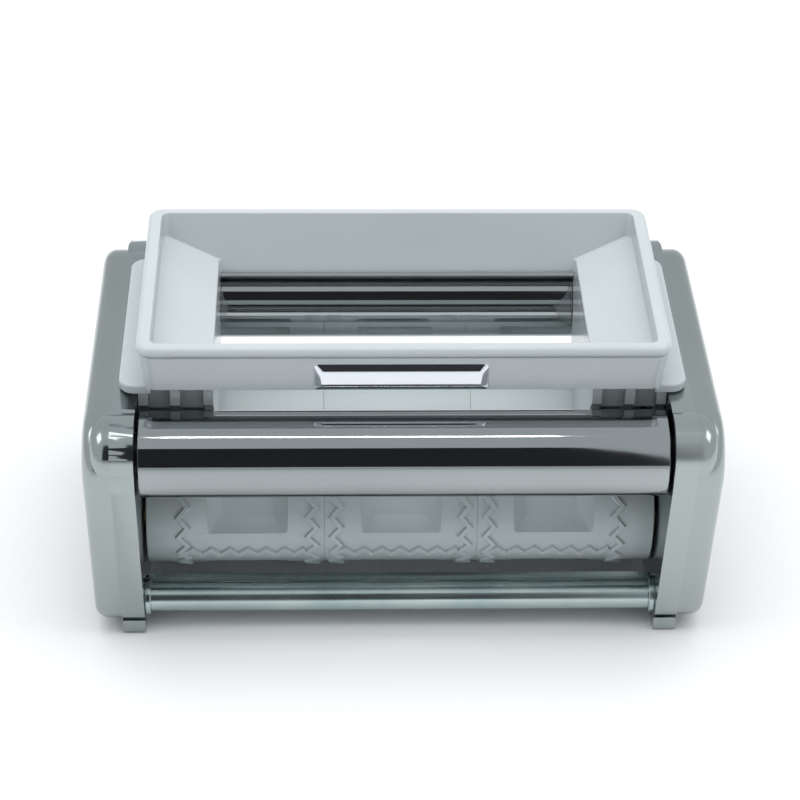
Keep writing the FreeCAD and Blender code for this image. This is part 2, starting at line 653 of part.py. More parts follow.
def roller_parts(y, radius, row_angle, ridged):
    """The segments of a roller by name, left to right, and the front roller's ridges."""
    names = ["left", "middle", "right"] if SEGMENTS == 3 else [str(i + 1) for i in range(SEGMENTS)]
    found = {}
    for i, name in enumerate(names):
        x_cell = (i - (SEGMENTS - 1) / 2) * CELL_PITCH
        x0 = -ROLLER_END if i == 0 else x_cell - CELL_PITCH / 2
        x1 = ROLLER_END if i == SEGMENTS - 1 else x_cell + CELL_PITCH / 2
        segment = roller_segment(x0, x1, x_cell, radius, row_angle)
        segment.translate(V(0, y, ROLLER_HEIGHT))
        found[name + "_segment"] = segment
        if ridged:
            ridges = cutting_ridges(row_angle)
            ridges.translate(V(x_cell, y, ROLLER_HEIGHT))
            found[name + "_ridges"] = ridges
    return found


def guide_clearances(x0, x1):
    return [cylinder_x(GUIDE_RADIUS + DOUGH_GAP, x0, x1, side * GUIDE_Y, GUIDE_HEIGHT) for side in (-1, 1)]


def hopper_rib(x0, top):
    """A short plate across the hopper's end, down to the dough guides."""
    x1 = x0 + RIB_THICKNESS
    plate = box(x0, x1, -RIB_Y, RIB_Y, GUIDE_HEIGHT + RIB_DROP, top)
    return plate.cut(guide_clearances(x0, x1))


def hopper_web(side):
    """The upright plate that closes the bays between an end's ribs, at the front or back."""
    y0, y1 = sorted((side * WEB_Y, side * (WEB_Y - HOPPER_WALL)))
    return box(SLOT_X + RIB_THICKNESS, RIB_OUTER_X, y0, y1, GUIDE_HEIGHT + WEB_DROP, BAND_BOTTOM)


def hopper_wing():
    """The ledge that rests on the right side frame, and the riser that carries it."""
    outer = RIM_X - RIM_OVERHANG - SKIRT_DRAFT
    inner = outer - HOPPER_WALL
    plate = rounded_block(WING_X, WING_Y, WING_BOTTOM, WING_TOP, WING_CORNER)
    plate = plate.common(box(inner, WING_X, -WING_Y, WING_Y, WING_BOTTOM, WING_TOP))
    riser = box(inner, outer, -WING_Y, WING_Y, WING_BOTTOM, SKIRT_BOTTOM + HOPPER_WALL)
    return plate.fuse(riser).removeSplitter()


def hopper_cheek():
    """A plate at the slot's end that hangs between the guides and narrows to the rollers' nip."""
    x1 = SLOT_X + RIB_THICKNESS
    right = [(RIB_Y, SLOT_BOTTOM), (RIB_Y, GUIDE_HEIGHT)]
    right += [(y, ROLLER_HEIGHT + rise) for y, rise in (CHEEK_WAIST, CHEEK_SHOULDER, CHEEK_TIP)]
    outline = [V(SLOT_X, y, z) for y, z in right] + [V(SLOT_X, -y, z) for y, z in right[::-1]]
    plate = flat_face(outline).extrude(V(RIB_THICKNESS, 0, 0))
    cuts = guide_clearances(SLOT_X, x1)
    for side, roller in ((-1, FRONT_TIP_RADIUS), (1, REAR_RADIUS)):
        cuts.append(cylinder_x(roller + ROLLER_GAP, SLOT_X, x1, side * ROLLER_Y, ROLLER_HEIGHT))
    return plate.cut(cuts)


def tray_space(wall):
    """The room inside the tray and its slot, grown all round by a wall."""
    side = [(SLOT_Y, SLOT_BOTTOM), (SLOT_Y, SLOT_TOP), (MOUTH_Y, RIM_TOP)]
    end = [(SLOT_X, SLOT_BOTTOM), (SLOT_X, SHELF_LOW), (BAND_X, BAND_BOTTOM), (BAND_X, RIM_TOP)]
    side += [(-y, z) for y, z in side[::-1]]
    end += [(-x, z) for x, z in end[::-1]]
    lengthwise = flat_face([V(-RIM_X, y, z) for y, z in side])
    crosswise = flat_face([V(x, -RIM_Y, z) for x, z in end])
    if wall:
        lengthwise = lengthwise.makeOffset2D(wall, 2)
        crosswise = crosswise.makeOffset2D(wall, 2)
    return lengthwise.extrude(V(2 * RIM_X, 0, 0)).common(crosswise.extrude(V(0, 2 * RIM_Y, 0)))


def hopper():
    """The filling tray: rim, skirt, sloping floor, slot, short ribs and wings in one moulding."""
    rim = rounded_block(RIM_X, RIM_Y, RIM_BOTTOM, RIM_TOP, RIM_CORNER)
    rim = rim.makeFillet(RIM_ROUND, [e for e in rim.Edges if e.BoundBox.ZLength < RIM_ROUND])
    skirt_x, skirt_y = RIM_X - RIM_OVERHANG, RIM_Y - RIM_OVERHANG
    skirt = tapered_block((skirt_x - SKIRT_DRAFT, skirt_y - SKIRT_DRAFT, SKIRT_BOTTOM),
                          (skirt_x, skirt_y, RIM_TOP - RIM_ROUND), RIM_CORNER)
    under = tapered_block(
        (skirt_x - SKIRT_DRAFT - HOPPER_WALL, skirt_y - SKIRT_DRAFT - HOPPER_WALL, SKIRT_BOTTOM),
        (skirt_x - HOPPER_WALL, skirt_y - HOPPER_WALL, BAND_BOTTOM), RIM_CORNER - HOPPER_WALL)
    floor = tray_space(HOPPER_WALL).common(box(-RIM_X, RIM_X, -RIM_Y, RIM_Y, SLOT_BOTTOM, BAND_BOTTOM))
    body = rim.fuse(skirt).cut(under.cut(floor)).fuse(floor)
    end = [hopper_rib(RIB_MIDDLE_X, BAND_BOTTOM), hopper_rib(RIB_OUTER_X, WING_TOP),
           hopper_web(-1), hopper_web(1), hopper_wing()]
    body = body.fuse(end + [mirror_x(piece) for piece in end])
    inside = tray_space(0)
    upright = [e for e in inside.Edges
               if abs(e.BoundBox.Center.x) > BAND_X - BAND_CORNER and e.BoundBox.ZLength > BAND_CORNER]
    body = body.cut(inside.makeFillet(BAND_CORNER, upright))
    return body.removeSplitter().cut(nameplate_recess())


def nameplate_recess():
    return box(-PLATE_X - PLATE_FIT, PLATE_X + PLATE_FIT, -RIM_Y, -NAMEPLATE_Y + PLATE_RECESS,
               PLATE_BOTTOM - PLATE_FIT, PLATE_TOP + PLATE_FIT)


def nameplate():
    """A plain pillow-shaped badge plate in its recess."""
    half_z = PLATE_HEIGHT / 2
    back = rounded_block(PLATE_X, half_z, 0, PLATE_EDGE, PLATE_CORNER)
    crown = tapered_block((PLATE_X, half_z, PLATE_EDGE),
                          (PLATE_X - 2 * PLATE_CROWN, half_z - 2 * PLATE_CROWN, PLATE_EDGE + PLATE_CROWN),
                          PLATE_CORNER)
    plate = back.fuse(crown).removeSplitter()
    plate.rotate(V(0, 0, 0), V(1, 0, 0), 90)
    plate.translate(V(0, -NAMEPLATE_Y + PLATE_RECESS, PLATE_BOTTOM + half_z))
    return plate


def build():
    nodes = {}
    frames = {"right": side_frame(JOURNAL_RADIUS), "left": mirror_x(side_frame(SHAFT_RADIUS))}
    covers = {"right": outer_cover(True), "left": mirror_x(outer_cover(False))}
    for hand in ("left", "right"):
        turned = mirror_x if hand == "left" else (lambda shape: shape)
        nodes[hand + "_side_frame"] = frames[hand]
        nodes[hand + "_outer_cover"] = covers[hand]
        nodes[hand + "_frame_nuts"] = turned(frame_nuts())
        nodes[hand + "_cover_pillars"] = turned(cover_pillars())
        nodes[hand + "_cover_screws"] = turned(cover_screws())
    for name, side in (("front", -1), ("rear", 1)):
        nodes[name + "_guide_tube"] = guide_tube(side * GUIDE_Y)
        nodes[name + "_guide_plugs"] = guide_plugs(side * GUIDE_Y)
        nodes[name + "_guide_rod"] = guide_rod(side * GUIDE_Y)
        nodes[name + "_tie_bar"] = tie_bar(side * TIE_Y)
        nodes[name + "_deflector"] = deflector(side)
    front, rear = -ROLLER_Y, ROLLER_Y
    nodes["front_roller_bushes"] = Part.makeCompound([bush(-1, front, SHAFT_RADIUS),
                                                      bush(1, front, JOURNAL_RADIUS)])
    nodes["rear_roller_bushes"] = Part.makeCompound([bush(-1, rear, SHAFT_RADIUS),
                                                     bush(1, rear, SHAFT_RADIUS)])
    nodes["front_roller_shaft"] = front_shaft()
    nodes["rear_roller_shaft"] = rear_shaft()
    nodes["front_shaft_clips"] = shaft_clips(front, JOURNAL_RADIUS)
    nodes["rear_shaft_clips"] = shaft_clips(rear, SHAFT_RADIUS)
    nodes["front_gear"] = spur_gear(front, 0.0)
    nodes["rear_gear"] = spur_gear(rear, math.pi + math.pi / GEAR_TEETH)
    for name, piece in roller_parts(front, FRONT_BASE_RADIUS, ROW_ANGLE, True).items():
        nodes["front_roller_" + name] = piece
    for name, piece in roller_parts(rear, REAR_RADIUS, 180 - ROW_ANGLE, False).items():
        nodes["rear_roller_" + name] = piece
    nodes["hopper"] = hopper()
    cheek = hopper_cheek()
    nodes["hopper_cheeks"] = Part.makeCompound([cheek, mirror_x(cheek)])
    nodes["nameplate"] = nameplate()
    return nodes


os.makedirs("parts", exist_ok=True)
for node, shape in build().items():
    shape.exportStep("parts/" + node + ".step")
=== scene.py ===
import json
import math
import bmesh
import bpy
from mathutils import Matrix, Vector


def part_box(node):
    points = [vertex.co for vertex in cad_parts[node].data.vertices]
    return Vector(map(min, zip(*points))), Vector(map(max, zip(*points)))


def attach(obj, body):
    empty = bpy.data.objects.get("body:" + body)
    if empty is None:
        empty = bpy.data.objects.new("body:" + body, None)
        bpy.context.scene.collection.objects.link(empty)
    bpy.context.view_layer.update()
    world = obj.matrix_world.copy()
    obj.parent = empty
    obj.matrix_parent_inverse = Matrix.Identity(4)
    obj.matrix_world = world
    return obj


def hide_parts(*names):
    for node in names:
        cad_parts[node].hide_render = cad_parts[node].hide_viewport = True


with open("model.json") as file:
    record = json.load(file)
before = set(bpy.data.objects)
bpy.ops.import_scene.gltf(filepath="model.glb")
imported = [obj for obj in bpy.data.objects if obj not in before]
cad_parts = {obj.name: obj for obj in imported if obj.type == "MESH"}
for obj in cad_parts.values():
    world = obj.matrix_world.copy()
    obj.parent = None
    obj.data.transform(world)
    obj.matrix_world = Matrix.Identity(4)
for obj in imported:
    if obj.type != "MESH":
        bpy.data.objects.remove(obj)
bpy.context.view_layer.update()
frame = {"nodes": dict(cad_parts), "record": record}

MM = 0.001

# --- camera: degrees, metres and millimetres of lens --------------------------------------
CAMERA_AZIMUTH = -2.387
CAMERA_ELEVATION = 36.022
CAMERA_ROLL = 1.244
CAMERA_DISTANCE = 0.81912
CAMERA_TARGET = Vector((0.00044, 0.0, 0.0593))
CAMERA_LENS = 107.22
CAMERA_SENSOR = 36

# --- sizes of the dough guides and tie bars -----------------------------------------------
guide_low, guide_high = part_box("front_guide_tube")
GUIDE_RADIUS = (guide_high.z - guide_low.z) / 2
GUIDE_Y = -(guide_low.y + guide_high.y) / 2
GUIDE_Z = (guide_low.z + guide_high.z) / 2
GUIDE_END = guide_high.x
GUIDE_WALL = 1.0 * MM

tie_low, tie_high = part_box("front_tie_bar")
TIE_RING_RADIUS = (tie_high.z - tie_low.z) / 2
TIE_RING_PROUD = 1.2 * MM
TIE_RING_WIDTH = 2.0 * MM
TIE_RADIUS = TIE_RING_RADIUS - TIE_RING_PROUD
TIE_Y = -(tie_low.y + tie_high.y) / 2
TIE_Z = (tie_low.z + tie_high.z) / 2

# --- sizes of the side frames and covers, on the right side -------------------------------
frame_low, frame_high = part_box("right_side_frame")
cover_low, cover_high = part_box("right_outer_cover")
FRAME_X = frame_low.x
SEAM_X = frame_high.x         # where the cover meets the frame
COVER_X = cover_high.x
COVER_BOTTOM = cover_low.z
COVER_WALL = 1.2 * MM
COVER_EDGE = 4.5 * MM
LOWER_CORNER_Y = 46.2 * MM
LOWER_CORNER_RADIUS = 8.0 * MM
BOSS_RADIUS = 17.6 * MM       # the outline's upper corners
DRUM_RADIUS = 11.6 * MM       # the round bulge on each upper corner
DRUM_OUT = 6.1 * MM
DRUM_UP = 6.3 * MM
# how far the cover's front and rear bulges stand out, and the rounding of their ends
DRUM_DEPTHS = {-1: (7.0 * MM, 5.6 * MM), 1: (0.8 * MM, 0.6 * MM)}
BOSS_Y = cover_high.y - DRUM_RADIUS - DRUM_OUT
BOSS_Z = cover_high.z - DRUM_RADIUS - DRUM_UP
CRANK_HOLE = 9.5 * MM
FRAME_PROUD = frame_high.y - cover_high.y
FRAME_PLATE = 2.0 * MM
FRAME_RIM = 1.5 * MM
FOOT_LENGTH = 13.0 * MM
FOOT_FRONT = 52.8 * MM
FOOT_ROUND = 1.5 * MM
JOURNAL = 5.0 * MM
CRANK_JOURNAL = 7.0 * MM      # the front shaft's right end is thicker, for the crank
BUSH_ROOM = 2.57 * MM         # the seat's radius beyond the journal's
TRIM_REACH = 6.0 * MM         # further in than the bulges start

screw_low, screw_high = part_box("right_cover_screws")
SCREW_HEAD = screw_high.y
SCREW_HEAD_HEIGHT = 1.7 * MM
SCREW_Z = (screw_low.z + SCREW_HEAD, screw_high.z - SCREW_HEAD)
SCREW_RADIUS = 1.9 * MM
SCREW_SHANK = 7.3 * MM
SCREW_FIT = 0.15 * MM
CROSS_ARM = 2.1 * MM          # half the recess's length
CROSS_HALF_WIDTH = 0.45 * MM
CROSS_DEPTH = 1.0 * MM

# --- sizes of the forming rollers ---------------------------------------------------------
shaft_low, shaft_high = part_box("front_roller_shaft")
ROLLER_Y = -(shaft_low.y + shaft_high.y) / 2
ROLLER_Z = (shaft_low.z + shaft_high.z) / 2
front_low, front_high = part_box("front_roller_middle_segment")
FRONT_BASE = (front_high.z - front_low.z) / 2
rear_low, rear_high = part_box("rear_roller_middle_segment")
REAR_RADIUS = (rear_high.z - rear_low.z) / 2
CELL_PITCH = front_high.x - front_low.x
CELL_WIDTH = 43.3 * MM        # between the middles of a cell's two ridge columns
CELLS_ROUND = 3
ROW_ANGLE = 195.7             # the first ridge row, from +Y towards +Z
ROW_TEETH = 7
COLUMN_TEETH = 6
RIDGE_HEIGHT = 1.0 * MM
FRONT_TIP = FRONT_BASE + RIDGE_HEIGHT
ZIGZAG_SWING = 1.5 * MM
RIDGE_WIDTH = 2.0 * MM
RIDGE_LEAN = 0.15 * MM        # how far each side leans in towards the crest
RIDGE_SOFT = 0.35 * MM        # the crest's rounding
RIDGE_SUNK = 0.8 * MM
# half across the roller and half round it: at the pocket's floor, at the knee where its walls
# steepen, and at its mouth
POCKET_FLOOR = (8.6 * MM, 5.4 * MM)
POCKET_KNEE = (13.3 * MM, 12.6 * MM)
POCKET_MOUTH = (13.8 * MM, 18.0 * MM)
POCKET_FLOOR_RADIUS = 12.6 * MM
POCKET_KNEE_RADIUS = 16.4 * MM
POCKET_BEYOND = 2.0 * MM      # how far the cutter's mouth is outside the roller
POCKET_CORNER = 0.9 * MM
POCKET_FLOOR_ROUND = 0.7 * MM

# --- sizes of the hopper and its plate ----------------------------------------------------
hopper_low, hopper_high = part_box("hopper")
RIM_TOP = hopper_high.z
RIM_X = 85.6 * MM
RIM_Y = hopper_high.y
RIM_HEIGHT = 4.0 * MM
RIM_CORNER = 5.0 * MM
RIM_ROUND = 1.9 * MM
RIM_OVERHANG = 0.9 * MM
WING_X = hopper_high.x
WING_Y = 38.0 * MM
WING_BOTTOM = RIM_TOP - 21.1 * MM
WING_TOP = WING_BOTTOM + 3.4 * MM
WING_CORNER = 5.0 * MM
SKIRT_BOTTOM = WING_BOTTOM + 3.6 * MM
SKIRT_DRAFT = 1.2 * MM        # how far the skirt leans in on its way down
SKIRT_GAP = 0.1 * MM          # from the rim's bead down to the skirt's top
SKIRT_CORNER = RIM_CORNER - RIM_OVERHANG
SKIRT_X = RIM_X - RIM_OVERHANG
SKIRT_Y = RIM_Y - RIM_OVERHANG
SKIRT_LOW_X = SKIRT_X - SKIRT_DRAFT
SKIRT_LOW_Y = SKIRT_Y - SKIRT_DRAFT
RISER_SUNK = 0.4 * MM         # how deep the riser starts in the ledge
HOPPER_WALL = 2.0 * MM
MOUTH_Y = 39.4 * MM
BAND_X = 81.0 * MM
BAND_BOTTOM = RIM_TOP - 7.6 * MM
BAND_CORNER = 2.5 * MM
SLOT_X = 61.7 * MM
SLOT_Y = 32.0 * MM
SLOT_TOP = WING_BOTTOM + 2.5 * MM
SLOT_BOTTOM = WING_BOTTOM + 1.1 * MM
SLOT_CORNER = 1.0 * MM
SHELF_LOW = SLOT_TOP + 3.4 * MM
SLOPE = (MOUTH_Y - SLOT_Y) / (RIM_TOP - SLOT_TOP)
SLOPE_STRETCH = 1.08          # a sloping wall's thickness along Y, to its own thickness
RIB_THICKNESS = 3.2 * MM
RIB_Y = 36.0 * MM
RIB_MIDDLE_X = 72.4 * MM
RIB_ROOM = 0.3 * MM           # to the side frame
RIB_OUTER_X = FRAME_X - RIB_ROOM - RIB_THICKNESS
RIB_BOTTOM = hopper_low.z
RIB_SUNK = 1.0 * MM           # how far below the ledge's top the outer rib ends
WEB_Y = 33.0 * MM
WEB_BOTTOM = GUIDE_Z + 9.1 * MM
DOUGH_GAP = 1.6 * MM
ROLLER_GAP = 2.0 * MM

cheek_low, cheek_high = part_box("hopper_cheeks")
CHEEK_WAIST = (29.0 * MM, ROLLER_Z + 30.3 * MM)
CHEEK_SHOULDER = (17.0 * MM, ROLLER_Z + 20.8 * MM)

plate_low, plate_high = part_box("nameplate")
# the badge's profile from its edge, in millimetres: how far in, and how far out of the skirt
BADGE_PROFILE = ((0.0, 0.0), (0.0, 0.8), (0.12, 0.97), (0.3, 1.08), (2.1, 1.98), (2.4, 2.11),
                 (2.8, 2.2), (3.4, 2.25), (4.6, 2.28))
BADGE_LEAN = math.degrees(math.atan2(SKIRT_DRAFT, RIM_TOP - SKIRT_BOTTOM))
BADGE_WIDER = 1.0 * MM
BADGE_TALLER = 0.4 * MM
BADGE_LEFT = 1.0 * MM         # its middle stands left of the skirt's
BADGE_CORNER = 1.4 * MM
BADGE_CORNER_SHRINK = 0.2     # of the way in

# --- how finely round things are made -----------------------------------------------------
FINE_SIDES = 128              # guides, covers and frames
ROLLER_SIDES = 180
ROUND_SIDES = 96              # bores and clearances
BAR_SIDES = 64
SCREW_SIDES = 48
CORNER_STEPS = 8              # short edges round a moulded corner
COVER_STEPS = 14
FOOT_STEPS = 6
POCKET_STEPS = 4
BEAD_STEPS = 5
RIDGE_STRIPS = 5              # across a ridge

# edges made soft: the rounding, its steps, and the least turn in degrees that is rounded
GUIDE_EDGE = (0.3 * MM, 3, 60)
TIE_RING_EDGE = (0.35 * MM, 3, 60)
FRAME_EDGE = (0.35 * MM, 3, 50)
SCREW_EDGE = (0.12 * MM, 2, 60)
ROLLER_END_EDGE = (0.3 * MM, 3, 60)
POCKET_EDGE = (0.22 * MM, 2, 28)
TRAY_EDGE = (0.45 * MM, 3, 24)
LEDGE_EDGE = (0.7 * MM, 4, 50)
PLATE_EDGE = (0.3 * MM, 2, 40)

# --- what picks and cutters go by ---------------------------------------------------------
FACING = 0.9                  # a face looks along a direction when this much of its normal does
FLAT_ANGLE = 0.5              # degrees, below which two faces are one
TOUCH = 0.01 * MM
NEARBY = 1.0 * MM
FLOOR_EDGE_ROOM = 0.1 * MM    # above a pocket's floor, for picking the floor's edges
PIERCED = 1.0 * MM            # how far a cutter runs past what it cuts
WIDE = 2                      # how many times a big cutter reaches past the solid


# --- modelling helpers --------------------------------------------------------------------
def clear_selection():
    bpy.ops.object.select_all(action="DESELECT")


def take(piece):
    """Makes one piece the only selected and active one."""
    clear_selection()
    piece.select_set(True)
    bpy.context.view_layer.objects.active = piece


def settle(piece, name):
    """Names a piece and puts its place into its mesh."""
    take(piece)
    bpy.ops.object.transform_apply(location=True, rotation=True, scale=True)
    piece.name = name
    piece.data.name = name
    return piece


def newest(name):
    """The piece that was just added, named and settled."""
    return settle(bpy.context.object, name)


def rod(name, radius, x0, x1, y, z, sides=ROUND_SIDES):
    """A round bar along X."""
    clear_selection()
    middle = ((x0 + x1) / 2, y, z)
    bpy.ops.mesh.primitive_cylinder_add(vertices=sides, radius=radius, depth=x1 - x0,
                                        location=middle, rotation=(0, math.pi / 2, 0))
    return newest(name)


def slab(name, x0, x1, y0, y1, z0, z1):
    """A square block between two corners."""
    clear_selection()
    middle = ((x0 + x1) / 2, (y0 + y1) / 2, (z0 + z1) / 2)
    bpy.ops.mesh.primitive_cube_add(size=1, location=middle, scale=(x1 - x0, y1 - y0, z1 - z0))
    return newest(name)


def pick(piece, kind, test):
    """In edit mode, selects only the faces, edges or vertices that pass the test."""
    bpy.ops.mesh.select_mode(type=kind)
    bpy.ops.mesh.select_all(action="DESELECT")
    mesh = bmesh.from_edit_mesh(piece.data)
    mesh.verts.index_update()
    parts = {"FACE": mesh.faces, "EDGE": mesh.edges, "VERT": mesh.verts}[kind]
    for part in parts:
        if test(part):
            part.select_set(True)
    mesh.select_flush_mode()
    bmesh.update_edit_mesh(piece.data)


def edit(piece):
    """Opens a piece for editing."""
    take(piece)
    bpy.ops.object.mode_set(mode="EDIT")


def done():
    """Closes the piece that is being edited."""
    bpy.ops.object.mode_set(mode="OBJECT")


def soften(piece, width, steps, angle):
    """Rounds every edge that turns more than an angle."""
    take(piece)
    bevel = piece.modifiers.new("soft edges", "BEVEL")
    bevel.width = width
    bevel.segments = steps
    bevel.limit_method = "ANGLE"
    bevel.angle_limit = math.radians(angle)
    bpy.ops.object.modifier_apply(modifier=bevel.name)
    return piece


def smooth(piece, angle=35):
    """Shades a piece smoothly, apart from edges that turn more than an angle."""
    take(piece)
    bpy.ops.object.shade_smooth_by_angle(angle=math.radians(angle))
    return piece


def outward(piece):
    """Merges doubles and points every face outwards."""
    edit(piece)
    bpy.ops.mesh.select_all(action="SELECT")
    bpy.ops.mesh.remove_doubles(threshold=TOUCH)
    bpy.ops.mesh.normals_make_consistent(inside=False)
    done()
    return piece


def weld(name, pieces):
    """Joins pieces into one object."""
    clear_selection()
    for piece in pieces:
        piece.select_set(True)
    bpy.context.view_layer.objects.active = pieces[0]
    bpy.ops.object.join()
    return newest(name)


def carve(piece, cutters, operation="DIFFERENCE"):
    """Cuts pieces out of a piece, or adds them to it, and deletes them."""
    for cutter in cutters:
        take(piece)
        cut = piece.modifiers.new("carve", "BOOLEAN")
        cut.operation = operation
        cut.solver = "EXACT"
        cut.object = cutter
        bpy.ops.object.modifier_apply(modifier=cut.name)
        bpy.data.objects.remove(cutter)
    return piece


def twin_in_place(piece):
    """Turns a right-hand piece into its left-hand mirror image."""
    take(piece)
    piece.scale = (-1, 1, 1)
    settle(piece, piece.name)
    edit(piece)
    bpy.ops.mesh.select_all(action="SELECT")
    bpy.ops.mesh.flip_normals()
    done()
    return piece


def twin(piece, name):
    """A mirror image across the middle plane, with a mesh of its own."""
    take(piece)
    bpy.ops.object.duplicate(linked=False)
    copy = bpy.context.object
    copy.scale = (-1, 1, 1)
    return outward(settle(copy, name))


def shift(piece, offset):
    """Moves a piece's mesh."""
    piece.location = offset
    return settle(piece, piece.name)


def turn(piece, axis, degrees):
    """Turns a piece's mesh about an axis through the origin."""
    piece.rotation_euler = [math.radians(degrees) if axis == letter else 0 for letter in "XYZ"]
    return settle(piece, piece.name)


def true_normals(piece):
    """Lets the broad faces set the shading, so the rounded edges blend into flat ones."""
    take(piece)
    weigh = piece.modifiers.new("true normals", "WEIGHTED_NORMAL")
    weigh.keep_sharp = True
    # above 50, broader faces count for more
    weigh.weight = 80
    bpy.ops.object.modifier_apply(modifier=weigh.name)
    return piece


def add_ring(half_x, half_y, z, corner):
    """In edit mode, adds a level rounded rectangle of edges."""
    bpy.ops.mesh.select_all(action="DESELECT")
    bpy.ops.mesh.primitive_plane_add(size=2, location=(0, 0, z))
    bpy.ops.transform.resize(value=(half_x, half_y, 1), center_override=(0, 0, z))
    bpy.ops.mesh.bevel(offset=corner, segments=CORNER_STEPS, affect="VERTICES")
    bpy.ops.mesh.delete(type="ONLY_FACE")


def stack(name, rings, closed=False):
    """Walls between rounded rectangles, each half_x, half_y, z, corner. Open ends get a face."""
    clear_selection()
    bpy.ops.mesh.primitive_plane_add(size=1)
    piece = newest(name)
    edit(piece)
    bpy.ops.mesh.select_all(action="SELECT")
    bpy.ops.mesh.delete(type="VERT")
    for sizes in rings:
        add_ring(*sizes)
    count = 4 * (CORNER_STEPS + 1)

    def along(*numbers):
        """Passes the edges that run along the rings of these numbers."""
        def test(edge):
            first, second = (vertex.index // count for vertex in edge.verts)
            return first == second and first in numbers
        return test

    last = len(rings) - 1
    pairs = [(i, i + 1) for i in range(last)]
    if closed:
        pairs.append((last, 0))
    for here, there in pairs:
        pick(piece, "EDGE", along(here, there))
        bpy.ops.mesh.bridge_edge_loops()
    if not closed:
        for end in (0, last):
            pick(piece, "EDGE", along(end))
            bpy.ops.mesh.edge_face_add()
    bpy.ops.mesh.select_all(action="SELECT")
    bpy.ops.mesh.normals_make_consistent(inside=False)
    done()
    return piece


# --- materials ----------------------------------------------------------------------------
# the part of the noise's range that is used, and where on it a colour is darkest and lightest
NOISE_LOW, NOISE_HIGH = 0.3, 0.7
TINT_STOPS = (0.35, 0.65)


def finish_material(name, colour, metallic, rough):
    """A material with its shader, and Object coordinates to hang textures on."""
    material = bpy.data.materials.new(name)
    material.use_nodes = True
    tree = material.node_tree
    shader = tree.nodes["Principled BSDF"]
    shader.inputs["Base Color"].default_value = (*colour, 1)
    shader.inputs["Metallic"].default_value = metallic
    shader.inputs["Roughness"].default_value = rough
    place = tree.nodes.new("ShaderNodeTexCoord")
    return material, tree, shader, place.outputs["Object"]


def cloud(tree, place, scale, detail, stretch=(1, 1, 1)):
    """Noise at a scale, drawn out along the axes whose stretch is below 1."""
    mapping = tree.nodes.new("ShaderNodeMapping")
    mapping.inputs["Scale"].default_value = stretch
    noise = tree.nodes.new("ShaderNodeTexNoise")
    noise.inputs["Scale"].default_value = scale
    noise.inputs["Detail"].default_value = detail
    tree.links.new(place, mapping.inputs["Vector"])
    tree.links.new(mapping.outputs["Vector"], noise.inputs["Vector"])
    return noise.outputs["Fac"]


def spread(tree, value, low, high):
    """Noise spread from a low to a high value."""
    ranged = tree.nodes.new("ShaderNodeMapRange")
    ranged.inputs["From Min"].default_value = NOISE_LOW
    ranged.inputs["From Max"].default_value = NOISE_HIGH
    ranged.inputs["To Min"].default_value = low
    ranged.inputs["To Max"].default_value = high
    tree.links.new(value, ranged.inputs["Value"])
    return ranged.outputs["Result"]


def tint(tree, value, dark, light):
    """Noise as a colour between a dark and a light one."""
    ramp = tree.nodes.new("ShaderNodeValToRGB")
    for stop, position, colour in zip(ramp.color_ramp.elements, TINT_STOPS, (dark, light)):
        stop.position = position
        stop.color = (*colour, 1)
    tree.links.new(value, ramp.inputs["Fac"])
    return ramp.outputs["Color"]


def add_bumps(tree, shader, layers):
    """Stacks bump layers, each a height, its strength and its depth in metres."""
    normal = None
    for height, strength, depth in layers:
        bump = tree.nodes.new("ShaderNodeBump")
        bump.inputs["Strength"].default_value = strength
        bump.inputs["Distance"].default_value = depth
        tree.links.new(height, bump.inputs["Height"])
        if normal is not None:
            tree.links.new(normal, bump.inputs["Normal"])
        normal = bump.outputs["Normal"]
    tree.links.new(normal, shader.inputs["Normal"])


def plated_chrome(name, dark, light, rough, wave):
    """Chrome plate with finger smudges, a faint waviness and fine hairlines along X."""
    material, tree, shader, place = finish_material(name, light, metallic=1.0, rough=rough[0])
    smudge = cloud(tree, place, scale=38, detail=6)
    haze = cloud(tree, place, scale=9, detail=3)
    tree.links.new(tint(tree, haze, dark, light), shader.inputs["Base Color"])
    tree.links.new(spread(tree, smudge, *rough), shader.inputs["Roughness"])
    waves = cloud(tree, place, scale=55, detail=2)
    hairs = cloud(tree, place, scale=900, detail=2, stretch=(0.04, 1, 1))
    add_bumps(tree, shader, [(waves, 0.35, wave), (hairs, 0.12, 0.02 * MM)])
    return material


def zinc_plate(name, dark, light, rough):
    """Bright zinc with drawn streaks along X."""
    material, tree, shader, place = finish_material(name, light, metallic=1.0, rough=0.3)
    streak = cloud(tree, place, scale=420, detail=5, stretch=(0.03, 1, 1))
    patch = cloud(tree, place, scale=60, detail=4)
    tree.links.new(tint(tree, patch, dark, light), shader.inputs["Base Color"])
    tree.links.new(spread(tree, streak, *rough), shader.inputs["Roughness"])
    add_bumps(tree, shader, [(streak, 0.4, 0.06 * MM), (patch, 0.2, 0.05 * MM)])
    return material


def turned_steel(name, dark, light, rough):
    """Turned steel with rings across X, some smoother and some rougher than the rest."""
    material, tree, shader, place = finish_material(name, light, metallic=1.0, rough=rough)
    rings = cloud(tree, place, scale=500, detail=4, stretch=(1, 0.05, 0.05))
    patch = cloud(tree, place, scale=90, detail=4)
    tree.links.new(tint(tree, patch, dark, light), shader.inputs["Base Color"])
    tree.links.new(spread(tree, rings, rough - 0.06, rough + 0.1), shader.inputs["Roughness"])
    add_bumps(tree, shader, [(rings, 0.4, 0.04 * MM)])
    return material


